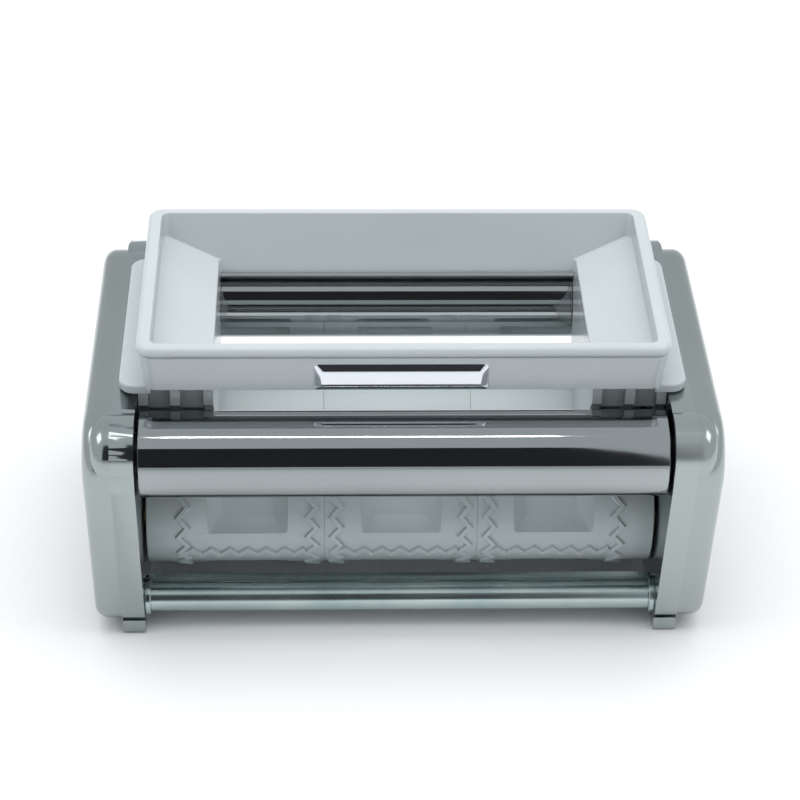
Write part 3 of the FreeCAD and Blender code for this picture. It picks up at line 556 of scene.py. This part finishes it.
def moulded_plastic(name, dark, light, rough, grain, depth):
    """Moulded plastic: a fine skin, and a faint cloud in its colour."""
    material, tree, shader, place = finish_material(name, light, metallic=0.0, rough=rough[0])
    patch = cloud(tree, place, scale=16, detail=2)
    skin = cloud(tree, place, scale=grain, detail=3)
    tree.links.new(tint(tree, patch, dark, light), shader.inputs["Base Color"])
    tree.links.new(spread(tree, patch, *rough), shader.inputs["Roughness"])
    add_bumps(tree, shader, [(skin, 0.25, depth)])
    return material


# each finish by its slot: its darkest and lightest colour, and how rough it is
SLOT_MATERIALS = {
    "cover_chrome": plated_chrome("cover_chrome", (0.33, 0.365, 0.36), (0.375, 0.41, 0.40),
                                  rough=(0.13, 0.22), wave=0.12 * MM),
    "frame_chrome": plated_chrome("frame_chrome", (0.33, 0.37, 0.37), (0.39, 0.43, 0.425),
                                  rough=(0.12, 0.2), wave=0.1 * MM),
    "guide_chrome": plated_chrome("guide_chrome", (0.33, 0.355, 0.36), (0.37, 0.395, 0.40),
                                  rough=(0.035, 0.07), wave=0.03 * MM),
    "plate_chrome": plated_chrome("plate_chrome", (0.72, 0.74, 0.79), (0.80, 0.82, 0.87),
                                  rough=(0.05, 0.1), wave=0.04 * MM),
    "zinc_steel": zinc_plate("zinc_steel", (0.40, 0.48, 0.48), (0.49, 0.57, 0.55),
                             rough=(0.14, 0.32)),
    "plain_steel": turned_steel("plain_steel", (0.45, 0.46, 0.47), (0.58, 0.59, 0.60),
                                rough=0.3),
    "gear_steel": turned_steel("gear_steel", (0.26, 0.26, 0.25), (0.38, 0.38, 0.38),
                               rough=0.36),
    "bush_bronze": turned_steel("bush_bronze", (0.20, 0.14, 0.08), (0.29, 0.21, 0.12),
                                rough=0.4),
    "roller_white": moulded_plastic("roller_white", (0.43, 0.48, 0.485), (0.455, 0.505, 0.51),
                                    rough=(0.34, 0.46), grain=900, depth=0.03 * MM),
    "hopper_white": moulded_plastic("hopper_white", (0.475, 0.515, 0.525), (0.495, 0.535, 0.545),
                                    rough=(0.12, 0.2), grain=260, depth=0.02 * MM),
    "plug_black": moulded_plastic("plug_black", (0.012, 0.012, 0.014), (0.03, 0.03, 0.033),
                                  rough=(0.4, 0.55), grain=1200, depth=0.03 * MM),
}


def dress(piece, body, slot, *nodes):
    """Gives a piece its finish and its body, and hides the plain solids that it stands for."""
    piece.data.materials.clear()
    piece.data.materials.append(SLOT_MATERIALS[slot])
    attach(piece, body)
    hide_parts(*nodes)


# --- guides and tie bars ------------------------------------------------------------------
def guide(name, y, node):
    """A polished dough guide: a long tube with soft lips."""
    tube = rod(name, GUIDE_RADIUS, -GUIDE_END, GUIDE_END, y, GUIDE_Z, FINE_SIDES)
    edit(tube)
    pick(tube, "FACE", lambda face: abs(face.normal.x) > FACING)
    bpy.ops.mesh.inset(thickness=GUIDE_WALL)
    bpy.ops.mesh.delete(type="FACE")
    pick(tube, "EDGE", lambda edge: edge.is_boundary)
    bpy.ops.mesh.bridge_edge_loops()
    bpy.ops.mesh.select_all(action="SELECT")
    bpy.ops.mesh.normals_make_consistent(inside=False)
    done()
    soften(tube, *GUIDE_EDGE)
    dress(true_normals(smooth(tube)), "frame", "guide_chrome", node)


guide("polished_guide_front", -GUIDE_Y, "front_guide_tube")
guide("polished_guide_rear", GUIDE_Y, "rear_guide_tube")


def tie(name, y, node):
    """A zinc tie bar with a ring at either end."""
    bar = rod(name + "_bar", TIE_RADIUS, -FRAME_X, FRAME_X, y, TIE_Z, BAR_SIDES)
    rings = []
    for side in (-1, 1):
        near, far = sorted((side * (FRAME_X - TIE_RING_WIDTH), side * FRAME_X))
        ring = rod(name + "_ring", TIE_RING_RADIUS, near, far, y, TIE_Z, BAR_SIDES)
        rings.append(soften(ring, *TIE_RING_EDGE))
    dress(true_normals(smooth(weld(name, [bar] + rings))), "frame", "zinc_steel", node)


tie("zinc_tie_bar_front", -TIE_Y, "front_tie_bar")
tie("zinc_tie_bar_rear", TIE_Y, "rear_tie_bar")


# --- side frames and covers, made for the right side --------------------------------------
def belt(name, grow, x0, x1):
    """The side's outline as a solid: a belt stretched round two bosses and two lower corners."""
    rounds = []
    lower = COVER_BOTTOM + LOWER_CORNER_RADIUS
    for y, z, radius in ((LOWER_CORNER_Y, lower, LOWER_CORNER_RADIUS),
                         (BOSS_Y, BOSS_Z, BOSS_RADIUS), (-BOSS_Y, BOSS_Z, BOSS_RADIUS),
                         (-LOWER_CORNER_Y, lower, LOWER_CORNER_RADIUS)):
        rounds.append(rod(name, radius + grow, x0, x1, y, z, FINE_SIDES))
    solid = weld(name, rounds)
    edit(solid)
    bpy.ops.mesh.select_all(action="SELECT")
    bpy.ops.mesh.convex_hull(join_triangles=True)
    bpy.ops.mesh.dissolve_limited(angle_limit=math.radians(FLAT_ANGLE))
    done()
    return solid


def drum(name, radius, x0, x1, side):
    """The round bulge at an upper corner."""
    y, z = side * (BOSS_Y + DRUM_OUT), BOSS_Z + DRUM_UP
    return rod(name + "_bulge", radius, x0, x1, y, z, FINE_SIDES)


def round_outer_end(piece, x, rounding):
    """Rounds a solid's outer end, whose face is at x."""
    edit(piece)
    pick(piece, "EDGE", lambda edge: all(v.co.x > x - TOUCH for v in edge.verts))
    bpy.ops.mesh.bevel(offset=rounding, segments=COVER_STEPS, affect="EDGES")
    done()
    return piece


def outer_cover(name, crank_hole):
    """A cap with a rounded edge and two corner bulges, hollow inside."""
    cover = round_outer_end(belt(name, 0, SEAM_X, COVER_X), COVER_X, COVER_EDGE)
    bulges = []
    for side, (depth, rounding) in DRUM_DEPTHS.items():
        end = SEAM_X + depth
        bulge = drum(name, DRUM_RADIUS, SEAM_X - FRAME_PLATE, end, side)
        bulges.append(round_outer_end(bulge, end, rounding))
    trim = slab(name + "_trim", SEAM_X - TRIM_REACH, SEAM_X, -BOSS_Y * WIDE, BOSS_Y * WIDE,
                0, BOSS_Z * WIDE)
    carve(cover, bulges, "UNION")
    cuts = [trim, belt(name + "_hollow", -COVER_WALL, SEAM_X - PIERCED, COVER_X - COVER_EDGE)]
    for z in SCREW_Z:
        cuts.append(rod(name + "_screw_hole", SCREW_HEAD + SCREW_FIT, SEAM_X, COVER_X + PIERCED,
                        0, z, SCREW_SIDES))
    if crank_hole:
        cuts.append(rod(name + "_crank_hole", CRANK_HOLE, SEAM_X, COVER_X + PIERCED,
                        -ROLLER_Y, ROLLER_Z))
    return true_normals(smooth(carve(cover, cuts), angle=30))


def side_frame(name, front_journal):
    """A dished plate with a proud rim, corner bulges, two feet and seats for the bushes."""
    shell = belt(name, FRAME_PROUD, FRAME_X, SEAM_X)
    pieces = []
    for side in (-1, 1):
        bulge = drum(name, DRUM_RADIUS + FRAME_PROUD, FRAME_X, SEAM_X, side)
        near, far = sorted((side * FOOT_FRONT, side * (FOOT_FRONT - FOOT_LENGTH)))
        foot = slab(name + "_foot", FRAME_X, SEAM_X, near, far, 0, COVER_BOTTOM + FRAME_RIM)
        edit(foot)
        # the two lower edges that run along X
        pick(foot, "EDGE", lambda edge: all(v.co.z < NEARBY for v in edge.verts)
             and abs(edge.verts[0].co.x - edge.verts[1].co.x) > NEARBY)
        bpy.ops.mesh.bevel(offset=FOOT_ROUND, segments=FOOT_STEPS, affect="EDGES")
        done()
        pieces += [bulge, foot]
    carve(shell, pieces, "UNION")
    cuts = [belt(name + "_dish", FRAME_PROUD - FRAME_RIM, FRAME_X + FRAME_PLATE, SEAM_X + PIERCED)]
    for side, journal in ((-1, front_journal), (1, JOURNAL)):
        cuts.append(rod(name + "_seat", journal + BUSH_ROOM, FRAME_X - PIERCED, SEAM_X,
                        side * ROLLER_Y, ROLLER_Z))
    return true_normals(smooth(soften(carve(shell, cuts), *FRAME_EDGE), angle=40))


dress(side_frame("chromed_frame_right", CRANK_JOURNAL), "frame", "frame_chrome",
      "right_side_frame")
dress(twin_in_place(side_frame("chromed_frame_left", JOURNAL)), "frame", "frame_chrome",
      "left_side_frame")
dress(outer_cover("chromed_cover_right", True), "frame", "cover_chrome", "right_outer_cover")
dress(twin_in_place(outer_cover("chromed_cover_left", False)), "frame", "cover_chrome",
      "left_outer_cover")


def cover_screws(name):
    """Two countersunk screws with a cross recess, flush with the cover."""
    taper = SCREW_RADIUS / SCREW_HEAD
    screws = []
    for z in SCREW_Z:
        screw = rod(name, SCREW_HEAD, COVER_X - SCREW_HEAD_HEIGHT, COVER_X, 0, z, SCREW_SIDES)
        edit(screw)
        pick(screw, "FACE", lambda face: -face.normal.x > FACING)
        bpy.ops.transform.resize(value=(1, taper, taper), center_override=(COVER_X, 0, z))
        bpy.ops.mesh.extrude_region_move(TRANSFORM_OT_translate={"value": (-SCREW_SHANK, 0, 0)})
        done()
        soften(screw, *SCREW_EDGE)
        cross = [slab(name, COVER_X - CROSS_DEPTH, COVER_X + PIERCED, -across, across,
                      z - up, z + up)
                 for across, up in ((CROSS_ARM, CROSS_HALF_WIDTH), (CROSS_HALF_WIDTH, CROSS_ARM))]
        screws.append(carve(screw, cross))
    return smooth(weld(name, screws), angle=30)


dress(cover_screws("cover_screws_right"), "frame", "plain_steel", "right_cover_screws")
dress(twin_in_place(cover_screws("cover_screws_left")), "frame", "plain_steel",
      "left_cover_screws")


# --- forming rollers ----------------------------------------------------------------------
def pocket_cutter(name, radius, angle, x):
    """The tapered hollow for one ravioli, pointing out of a roller at an angle from +Y to +Z."""
    cutter = stack(name, [(*POCKET_FLOOR, POCKET_FLOOR_RADIUS, POCKET_CORNER),
                          (*POCKET_KNEE, POCKET_KNEE_RADIUS, POCKET_CORNER),
                          (*POCKET_MOUTH, radius + POCKET_BEYOND, POCKET_CORNER)])
    edit(cutter)
    level = POCKET_FLOOR_RADIUS + FLOOR_EDGE_ROOM
    pick(cutter, "EDGE", lambda edge: all(v.co.z < level for v in edge.verts))
    bpy.ops.mesh.bevel(offset=POCKET_FLOOR_ROUND, segments=POCKET_STEPS, affect="EDGES")
    done()
    return shift(turn(cutter, "X", angle - 90), (x, 0, 0))


def ridge_section(step):
    """Across and up of a ridge's section, one strip after another, for strokes of a length."""
    half = RIDGE_WIDTH / 2 / math.cos(math.atan2(2 * ZIGZAG_SWING, step))
    shoulder = half - RIDGE_LEAN
    right = [(shoulder - RIDGE_SOFT, RIDGE_HEIGHT), (shoulder, RIDGE_HEIGHT - RIDGE_SOFT),
             (half, -RIDGE_SUNK)]
    return [(-across, up) for across, up in reversed(right)] + right


def ridge_grid(name, strokes):
    """A flat grid from -1 to 1 both ways, of strokes by strips."""
    clear_selection()
    bpy.ops.mesh.primitive_grid_add(x_subdivisions=strokes, y_subdivisions=RIDGE_STRIPS, size=2)
    return newest(name)


def line_number(place, count):
    """Which of the grid's lines a place from -1 to 1 is on."""
    return round((place + 1) / 2 * count)


def zigzag(stroke):
    """How far aside the ridge stands at the start of a stroke."""
    return ZIGZAG_SWING if stroke % 2 else -ZIGZAG_SWING


def ridge_row(name, angle, x):
    """A zigzag ridge along X, from the middle of one of its cell's columns to the other's."""
    strokes = 2 * ROW_TEETH
    step = CELL_WIDTH / strokes
    ridge = ridge_grid(name, strokes)
    section = ridge_section(step)
    edit(ridge)
    for vertex in bmesh.from_edit_mesh(ridge.data).verts:
        stroke = line_number(vertex.co.x, strokes)
        along = (stroke - strokes / 2) * step
        if stroke in (0, strokes):
            # the columns stand one swing to the left where a row meets them
            along -= ZIGZAG_SWING
        across, up = section[line_number(vertex.co.y, RIDGE_STRIPS)]
        aside = across + zigzag(stroke)
        # the crest follows the roller's curve
        lift = math.sqrt((FRONT_BASE + up) ** 2 - aside ** 2)
        vertex.co = (along, aside, lift)
    bmesh.update_edit_mesh(ridge.data)
    done()
    return shift(turn(ridge, "X", angle - 90), (x, 0, 0))


def ridge_column(name, x):
    """A zigzag ridge right round the roller."""
    strokes = 2 * COLUMN_TEETH * CELLS_ROUND
    ridge = ridge_grid(name, strokes)
    section = ridge_section(2 * math.pi * FRONT_TIP / strokes)
    edit(ridge)
    for vertex in bmesh.from_edit_mesh(ridge.data).verts:
        stroke = line_number(vertex.co.x, strokes)
        across, up = section[line_number(vertex.co.y, RIDGE_STRIPS)]
        around = math.radians(ROW_ANGLE + 360 / strokes * stroke)
        reach = FRONT_BASE + up
        vertex.co = (x + across + zigzag(stroke), reach * math.cos(around),
                     reach * math.sin(around))
    bmesh.update_edit_mesh(ridge.data)
    done()
    return outward(ridge)


def roller_segment(name, node, side, y, radius, row_angle, ridged):
    """One moulded segment with its three pockets, and the front roller's cutting ridges."""
    low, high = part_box(node)
    x_cell = side * CELL_PITCH
    core = soften(rod(name, radius, low.x, high.x, 0, 0, ROLLER_SIDES), *ROLLER_END_EDGE)
    rows = [row_angle + 360 / CELLS_ROUND * i for i in range(CELLS_ROUND)]
    carve(core, [pocket_cutter(name + "_pocket", radius, row + 180 / CELLS_ROUND, x_cell)
                 for row in rows])
    smooth(soften(core, *POCKET_EDGE), angle=40)
    if ridged:
        ridges = [ridge_column(name + "_column", x_cell + end * CELL_WIDTH / 2) for end in (-1, 1)]
        ridges += [ridge_row(name + "_row", row, x_cell) for row in rows]
        core = weld(name, [core] + [smooth(outward(ridge), angle=50) for ridge in ridges])
    return shift(core, (0, y, ROLLER_Z))


for side, place in ((-1, "left"), (0, "middle"), (1, "right")):
    node = "front_roller_" + place + "_segment"
    segment = roller_segment("forming_roller_front_" + place, node, side, -ROLLER_Y, FRONT_BASE,
                             ROW_ANGLE, True)
    dress(segment, "front_roller", "roller_white", node, "front_roller_" + place + "_ridges")
    node = "rear_roller_" + place + "_segment"
    segment = roller_segment("forming_roller_rear_" + place, node, side, ROLLER_Y, REAR_RADIUS,
                             180 - ROW_ANGLE, False)
    dress(segment, "rear_roller", "roller_white", node)


# --- hopper -------------------------------------------------------------------------------
def bead(z, start):
    """Rings round a quarter of the rim's bead, from a start angle, turning downwards."""
    rings = []
    for i in range(BEAD_STEPS + 1):
        turned = math.radians(start - 90 * i / BEAD_STEPS)
        out, up = RIM_ROUND * math.cos(turned), RIM_ROUND * math.sin(turned)
        rings.append((RIM_X - RIM_ROUND + out, RIM_Y - RIM_ROUND + out, z + up,
                      RIM_CORNER - RIM_ROUND + out))
    return rings


def tray_ring(x, z, corner, wall=0.0):
    """A ring of the tray at a height, its front and back on the sloping walls."""
    y = SLOT_Y + (z - SLOT_TOP) * SLOPE + wall * SLOPE_STRETCH
    return (x + wall, y, z, corner + wall)


def tray(name):
    """Rim, skirt, sloping floor and slot in one skin that closes on itself at the slot's lip."""
    wall, inner_corner = HOPPER_WALL, RIM_CORNER - HOPPER_WALL
    rings = [(SLOT_X, SLOT_Y, SLOT_BOTTOM, SLOT_CORNER), (SLOT_X, SLOT_Y, SLOT_TOP, SLOT_CORNER),
             tray_ring(SLOT_X, SHELF_LOW, SLOT_CORNER),
             tray_ring(BAND_X, BAND_BOTTOM, BAND_CORNER), tray_ring(BAND_X, RIM_TOP, BAND_CORNER)]
    rings += bead(RIM_TOP - RIM_ROUND, 90)
    rings += bead(RIM_TOP - RIM_HEIGHT + RIM_ROUND, 0)
    rings += [(SKIRT_X, SKIRT_Y, RIM_TOP - RIM_HEIGHT - SKIRT_GAP, SKIRT_CORNER),
              (SKIRT_LOW_X, SKIRT_LOW_Y, SKIRT_BOTTOM, SKIRT_CORNER),
              (SKIRT_LOW_X - wall, SKIRT_LOW_Y - wall, SKIRT_BOTTOM, inner_corner),
              (SKIRT_X - wall, SKIRT_Y - wall, BAND_BOTTOM, inner_corner),
              tray_ring(BAND_X, BAND_BOTTOM - wall, BAND_CORNER, wall / 2),
              tray_ring(SLOT_X, SHELF_LOW - wall, SLOT_CORNER, wall),
              (SLOT_X + wall, SLOT_Y + wall, SLOT_BOTTOM, SLOT_CORNER + wall)]
    return soften(stack(name, rings, closed=True), *TRAY_EDGE)


def wing(name):
    """The right ledge on the side frame, and the riser under the skirt's end."""
    ledge = stack(name, [(WING_X, WING_Y, WING_BOTTOM, WING_CORNER),
                         (WING_X, WING_Y, WING_TOP, WING_CORNER)])
    riser = stack(name, [(SKIRT_LOW_X, SKIRT_LOW_Y, WING_TOP - RISER_SUNK, SKIRT_CORNER),
                         (SKIRT_LOW_X, SKIRT_LOW_Y, SKIRT_BOTTOM + HOPPER_WALL / 2, SKIRT_CORNER)])
    for piece in (ledge, riser):
        carve(piece, [slab(name, -WING_X * WIDE, SKIRT_LOW_X - HOPPER_WALL, -WING_Y * WIDE,
                           WING_Y * WIDE, 0, RIM_TOP)])
    soften(ledge, *LEDGE_EDGE)
    return [ledge, riser]


def guide_clearances(name, x0, x1):
    """Rods round the two guides with room for the dough, to cut with."""
    return [rod(name, GUIDE_RADIUS + DOUGH_GAP, x0 - PIERCED, x1 + PIERCED, side * GUIDE_Y,
                GUIDE_Z) for side in (-1, 1)]


def short_rib(name, x0, top):
    """A rib across the hopper's end, down to the guides."""
    x1 = x0 + RIB_THICKNESS
    plate = slab(name, x0, x1, -RIB_Y, RIB_Y, RIB_BOTTOM, top)
    return soften(carve(plate, guide_clearances(name, x0, x1)), *PLATE_EDGE)


def shelf_height(x):
    """The sloping end floor's height."""
    return SHELF_LOW + (x - SLOT_X) * (BAND_BOTTOM - SHELF_LOW) / (BAND_X - SLOT_X)


def web(name, side):
    """The upright plate between the ribs, its top buried in the sloping floor."""
    x0, x1 = SLOT_X + RIB_THICKNESS, RIB_OUTER_X
    near, far = sorted((side * WEB_Y, side * (WEB_Y - HOPPER_WALL)))
    plate = slab(name, x0, x1, near, far, WEB_BOTTOM, shelf_height(x1) - HOPPER_WALL)
    edit(plate)
    # the top's inner edge comes down with the floor
    pick(plate, "VERT", lambda vertex: vertex.co.x < x0 + NEARBY
         and vertex.co.z > WEB_BOTTOM + NEARBY)
    bpy.ops.transform.translate(value=(0, 0, shelf_height(x0) - shelf_height(x1)))
    done()
    return soften(plate, *PLATE_EDGE)


def hopper(name):
    """The whole moulding: the tray, and ribs, webs and ledges at both ends."""
    skin = tray(name)
    pieces = [short_rib(name, RIB_MIDDLE_X, shelf_height(RIB_MIDDLE_X) - HOPPER_WALL / 4),
              short_rib(name, RIB_OUTER_X, WING_TOP - RIB_SUNK), web(name, -1), web(name, 1)]
    end = weld(name + "_end", pieces + wing(name))
    other = twin(end, name + "_other_end")
    return true_normals(smooth(weld(name, [skin, end, other]), angle=32))


dress(hopper("moulded_hopper"), "hopper", "hopper_white", "hopper")


def cheek(name):
    """The right plate at the slot's end, hollowed for the guides and rollers."""
    x0, x1 = SLOT_X, SLOT_X + RIB_THICKNESS
    plate = slab(name, x0, x1, -RIB_Y, RIB_Y, cheek_low.z - HOPPER_WALL, cheek_high.z)
    edit(plate)
    for side in (-1, 1):
        for upper, lower in (((RIB_Y, GUIDE_Z), CHEEK_WAIST), (CHEEK_WAIST, CHEEK_SHOULDER)):
            bpy.ops.mesh.select_all(action="SELECT")
            run_y, run_z = upper[0] - lower[0], upper[1] - lower[1]
            bpy.ops.mesh.bisect(plane_co=(x0, side * upper[0], upper[1]),
                                plane_no=(0, side * run_z, -run_y),
                                use_fill=True, clear_outer=True)
    done()
    cuts = guide_clearances(name, x0, x1)
    for side, radius in ((-1, FRONT_TIP), (1, REAR_RADIUS)):
        cuts.append(rod(name, radius + ROLLER_GAP, x0 - PIERCED, x1 + PIERCED, side * ROLLER_Y,
                        ROLLER_Z))
    return soften(carve(plate, cuts), *PLATE_EDGE)


def cheeks(name):
    """Both of the hopper's end plates."""
    right = cheek(name)
    left = twin(right, name + "_left")
    return true_normals(smooth(weld(name, [right, left]), angle=40))


dress(cheeks("hopper_end_cheeks"), "hopper", "hopper_white", "hopper_cheeks")


def badge(name):
    """A plain pillow-shaped plate, left bare, that leans with the skirt."""
    half_x = plate_high.x + BADGE_WIDER
    half_z = (plate_high.z - plate_low.z) / 2 + BADGE_TALLER
    rings = []
    for inward, out in BADGE_PROFILE:
        inward *= MM
        rings.append((half_x - inward, half_z - inward, out * MM,
                      BADGE_CORNER - inward * BADGE_CORNER_SHRINK))
    pillow = turn(stack(name, rings), "X", 90 + BADGE_LEAN)
    middle = (plate_low.z + plate_high.z) / 2
    return smooth(shift(pillow, (-BADGE_LEFT, plate_high.y, middle)), angle=60)


dress(badge("badge_plate"), "hopper", "plate_chrome", "nameplate")

# --- every solid that keeps its own shape gets its finish ---------------------------------
node_slots = {part["node"]: part["material_slot"] for part in frame["record"]["subparts"]}
for node, solid in frame["nodes"].items():
    solid.data.materials.clear()
    solid.data.materials.append(SLOT_MATERIALS[node_slots[node]])


# --- floor, lights and camera -------------------------------------------------------------
SKY_COLOUR = (0.93, 0.97, 1.0)
SKY_STRENGTH = 0.78
FLOOR_SIZE = 8
CARD_PLACE = (0, -1.6, 1.06)
CARD_SIZE = (1.3, 1.88)
CARD_SHORTER = 0.32           # its right edge is moved in this far
LAMP_AIM = (0, 0, 0.05)
# name, place, width, height, watts, and whether the polished faces mirror it
LAMPS = (
    ("overhead_softbox", (0.0, 0.1, 1.2), 1.4, 1.0, 9.2, False),
    ("left_softbox", (-0.9, -0.2, 1.1), 0.6, 0.6, 2.4, True),
    ("right_softbox", (0.9, -0.2, 1.1), 0.6, 0.6, 2.4, True),
    ("strip_light", (0.0, -0.2, 1.1), 0.3, 0.03, 0.7, True),
)


def stage(piece, paint_name, dark, light, rough, scale, detail):
    """Paints a piece of the studio matt, with a faint speckle."""
    paint, tree, shader, place = finish_material(paint_name, light, metallic=0.0, rough=rough)
    speckle = cloud(tree, place, scale, detail)
    tree.links.new(tint(tree, speckle, dark, light), shader.inputs["Base Color"])
    piece.data.materials.append(paint)


def studio():
    """The plain floor, and the soft light from all round."""
    clear_selection()
    bpy.ops.mesh.primitive_plane_add(size=FLOOR_SIZE, location=(0, 0, 0))
    stage(newest("studio_floor"), "floor_paint", (0.84, 0.845, 0.85), (0.855, 0.86, 0.865),
          rough=0.85, scale=3, detail=2)
    world = bpy.data.worlds.new("studio")
    world.use_nodes = True
    sky = world.node_tree.nodes["Background"]
    sky.inputs["Color"].default_value = (*SKY_COLOUR, 1)
    sky.inputs["Strength"].default_value = SKY_STRENGTH
    bpy.context.scene.world = world


def dark_card():
    """A dark card behind the camera, which the polished faces mirror as a dark band."""
    clear_selection()
    bpy.ops.mesh.primitive_plane_add(size=1, location=CARD_PLACE, rotation=(math.pi / 2, 0, 0))
    bpy.context.object.scale = (*CARD_SIZE, 1)
    card = newest("studio_dark_card")
    edit(card)
    pick(card, "VERT", lambda vertex: vertex.co.x > 0)
    bpy.ops.transform.translate(value=(-CARD_SHORTER, 0, 0))
    done()
    card.visible_camera = False
    stage(card, "card_paint", (0.018, 0.018, 0.02), (0.03, 0.03, 0.034),
          rough=0.9, scale=40, detail=3)


def softbox(name, place, width, height, power, mirrored):
    """A flat lamp that looks at the object."""
    lamp = bpy.data.lights.new(name, "AREA")
    lamp.shape = "RECTANGLE"
    lamp.size = width
    lamp.size_y = height
    lamp.energy = power
    holder = bpy.data.objects.new(name, lamp)
    bpy.context.scene.collection.objects.link(holder)
    holder.visible_glossy = mirrored
    holder.location = place
    aim = Vector(LAMP_AIM) - Vector(place)
    holder.rotation_euler = aim.to_track_quat("-Z", "Y").to_euler()


def camera():
    """Looks at the target from its azimuth and elevation, rolled about its own line of sight."""
    azimuth, elevation = math.radians(CAMERA_AZIMUTH), math.radians(CAMERA_ELEVATION)
    roll = math.radians(CAMERA_ROLL)
    right = Vector((math.cos(azimuth), math.sin(azimuth), 0))
    ahead = Vector((-math.sin(azimuth) * math.cos(elevation),
                    math.cos(azimuth) * math.cos(elevation), -math.sin(elevation)))
    up = right.cross(ahead)
    across = right * math.cos(roll) + up * math.sin(roll)
    upright = up * math.cos(roll) - right * math.sin(roll)
    lens = bpy.data.cameras.new("product_camera")
    lens.lens = CAMERA_LENS
    lens.sensor_width = CAMERA_SENSOR
    holder = bpy.data.objects.new("product_camera", lens)
    bpy.context.scene.collection.objects.link(holder)
    facing = Matrix((across, upright, -ahead)).transposed().to_4x4()
    holder.matrix_world = Matrix.Translation(CAMERA_TARGET - ahead * CAMERA_DISTANCE) @ facing
    bpy.context.scene.camera = holder


camera()
studio()
dark_card()
for lamp in LAMPS:
    softbox(*lamp)
bpy.context.scene.view_settings.view_transform = "Standard"
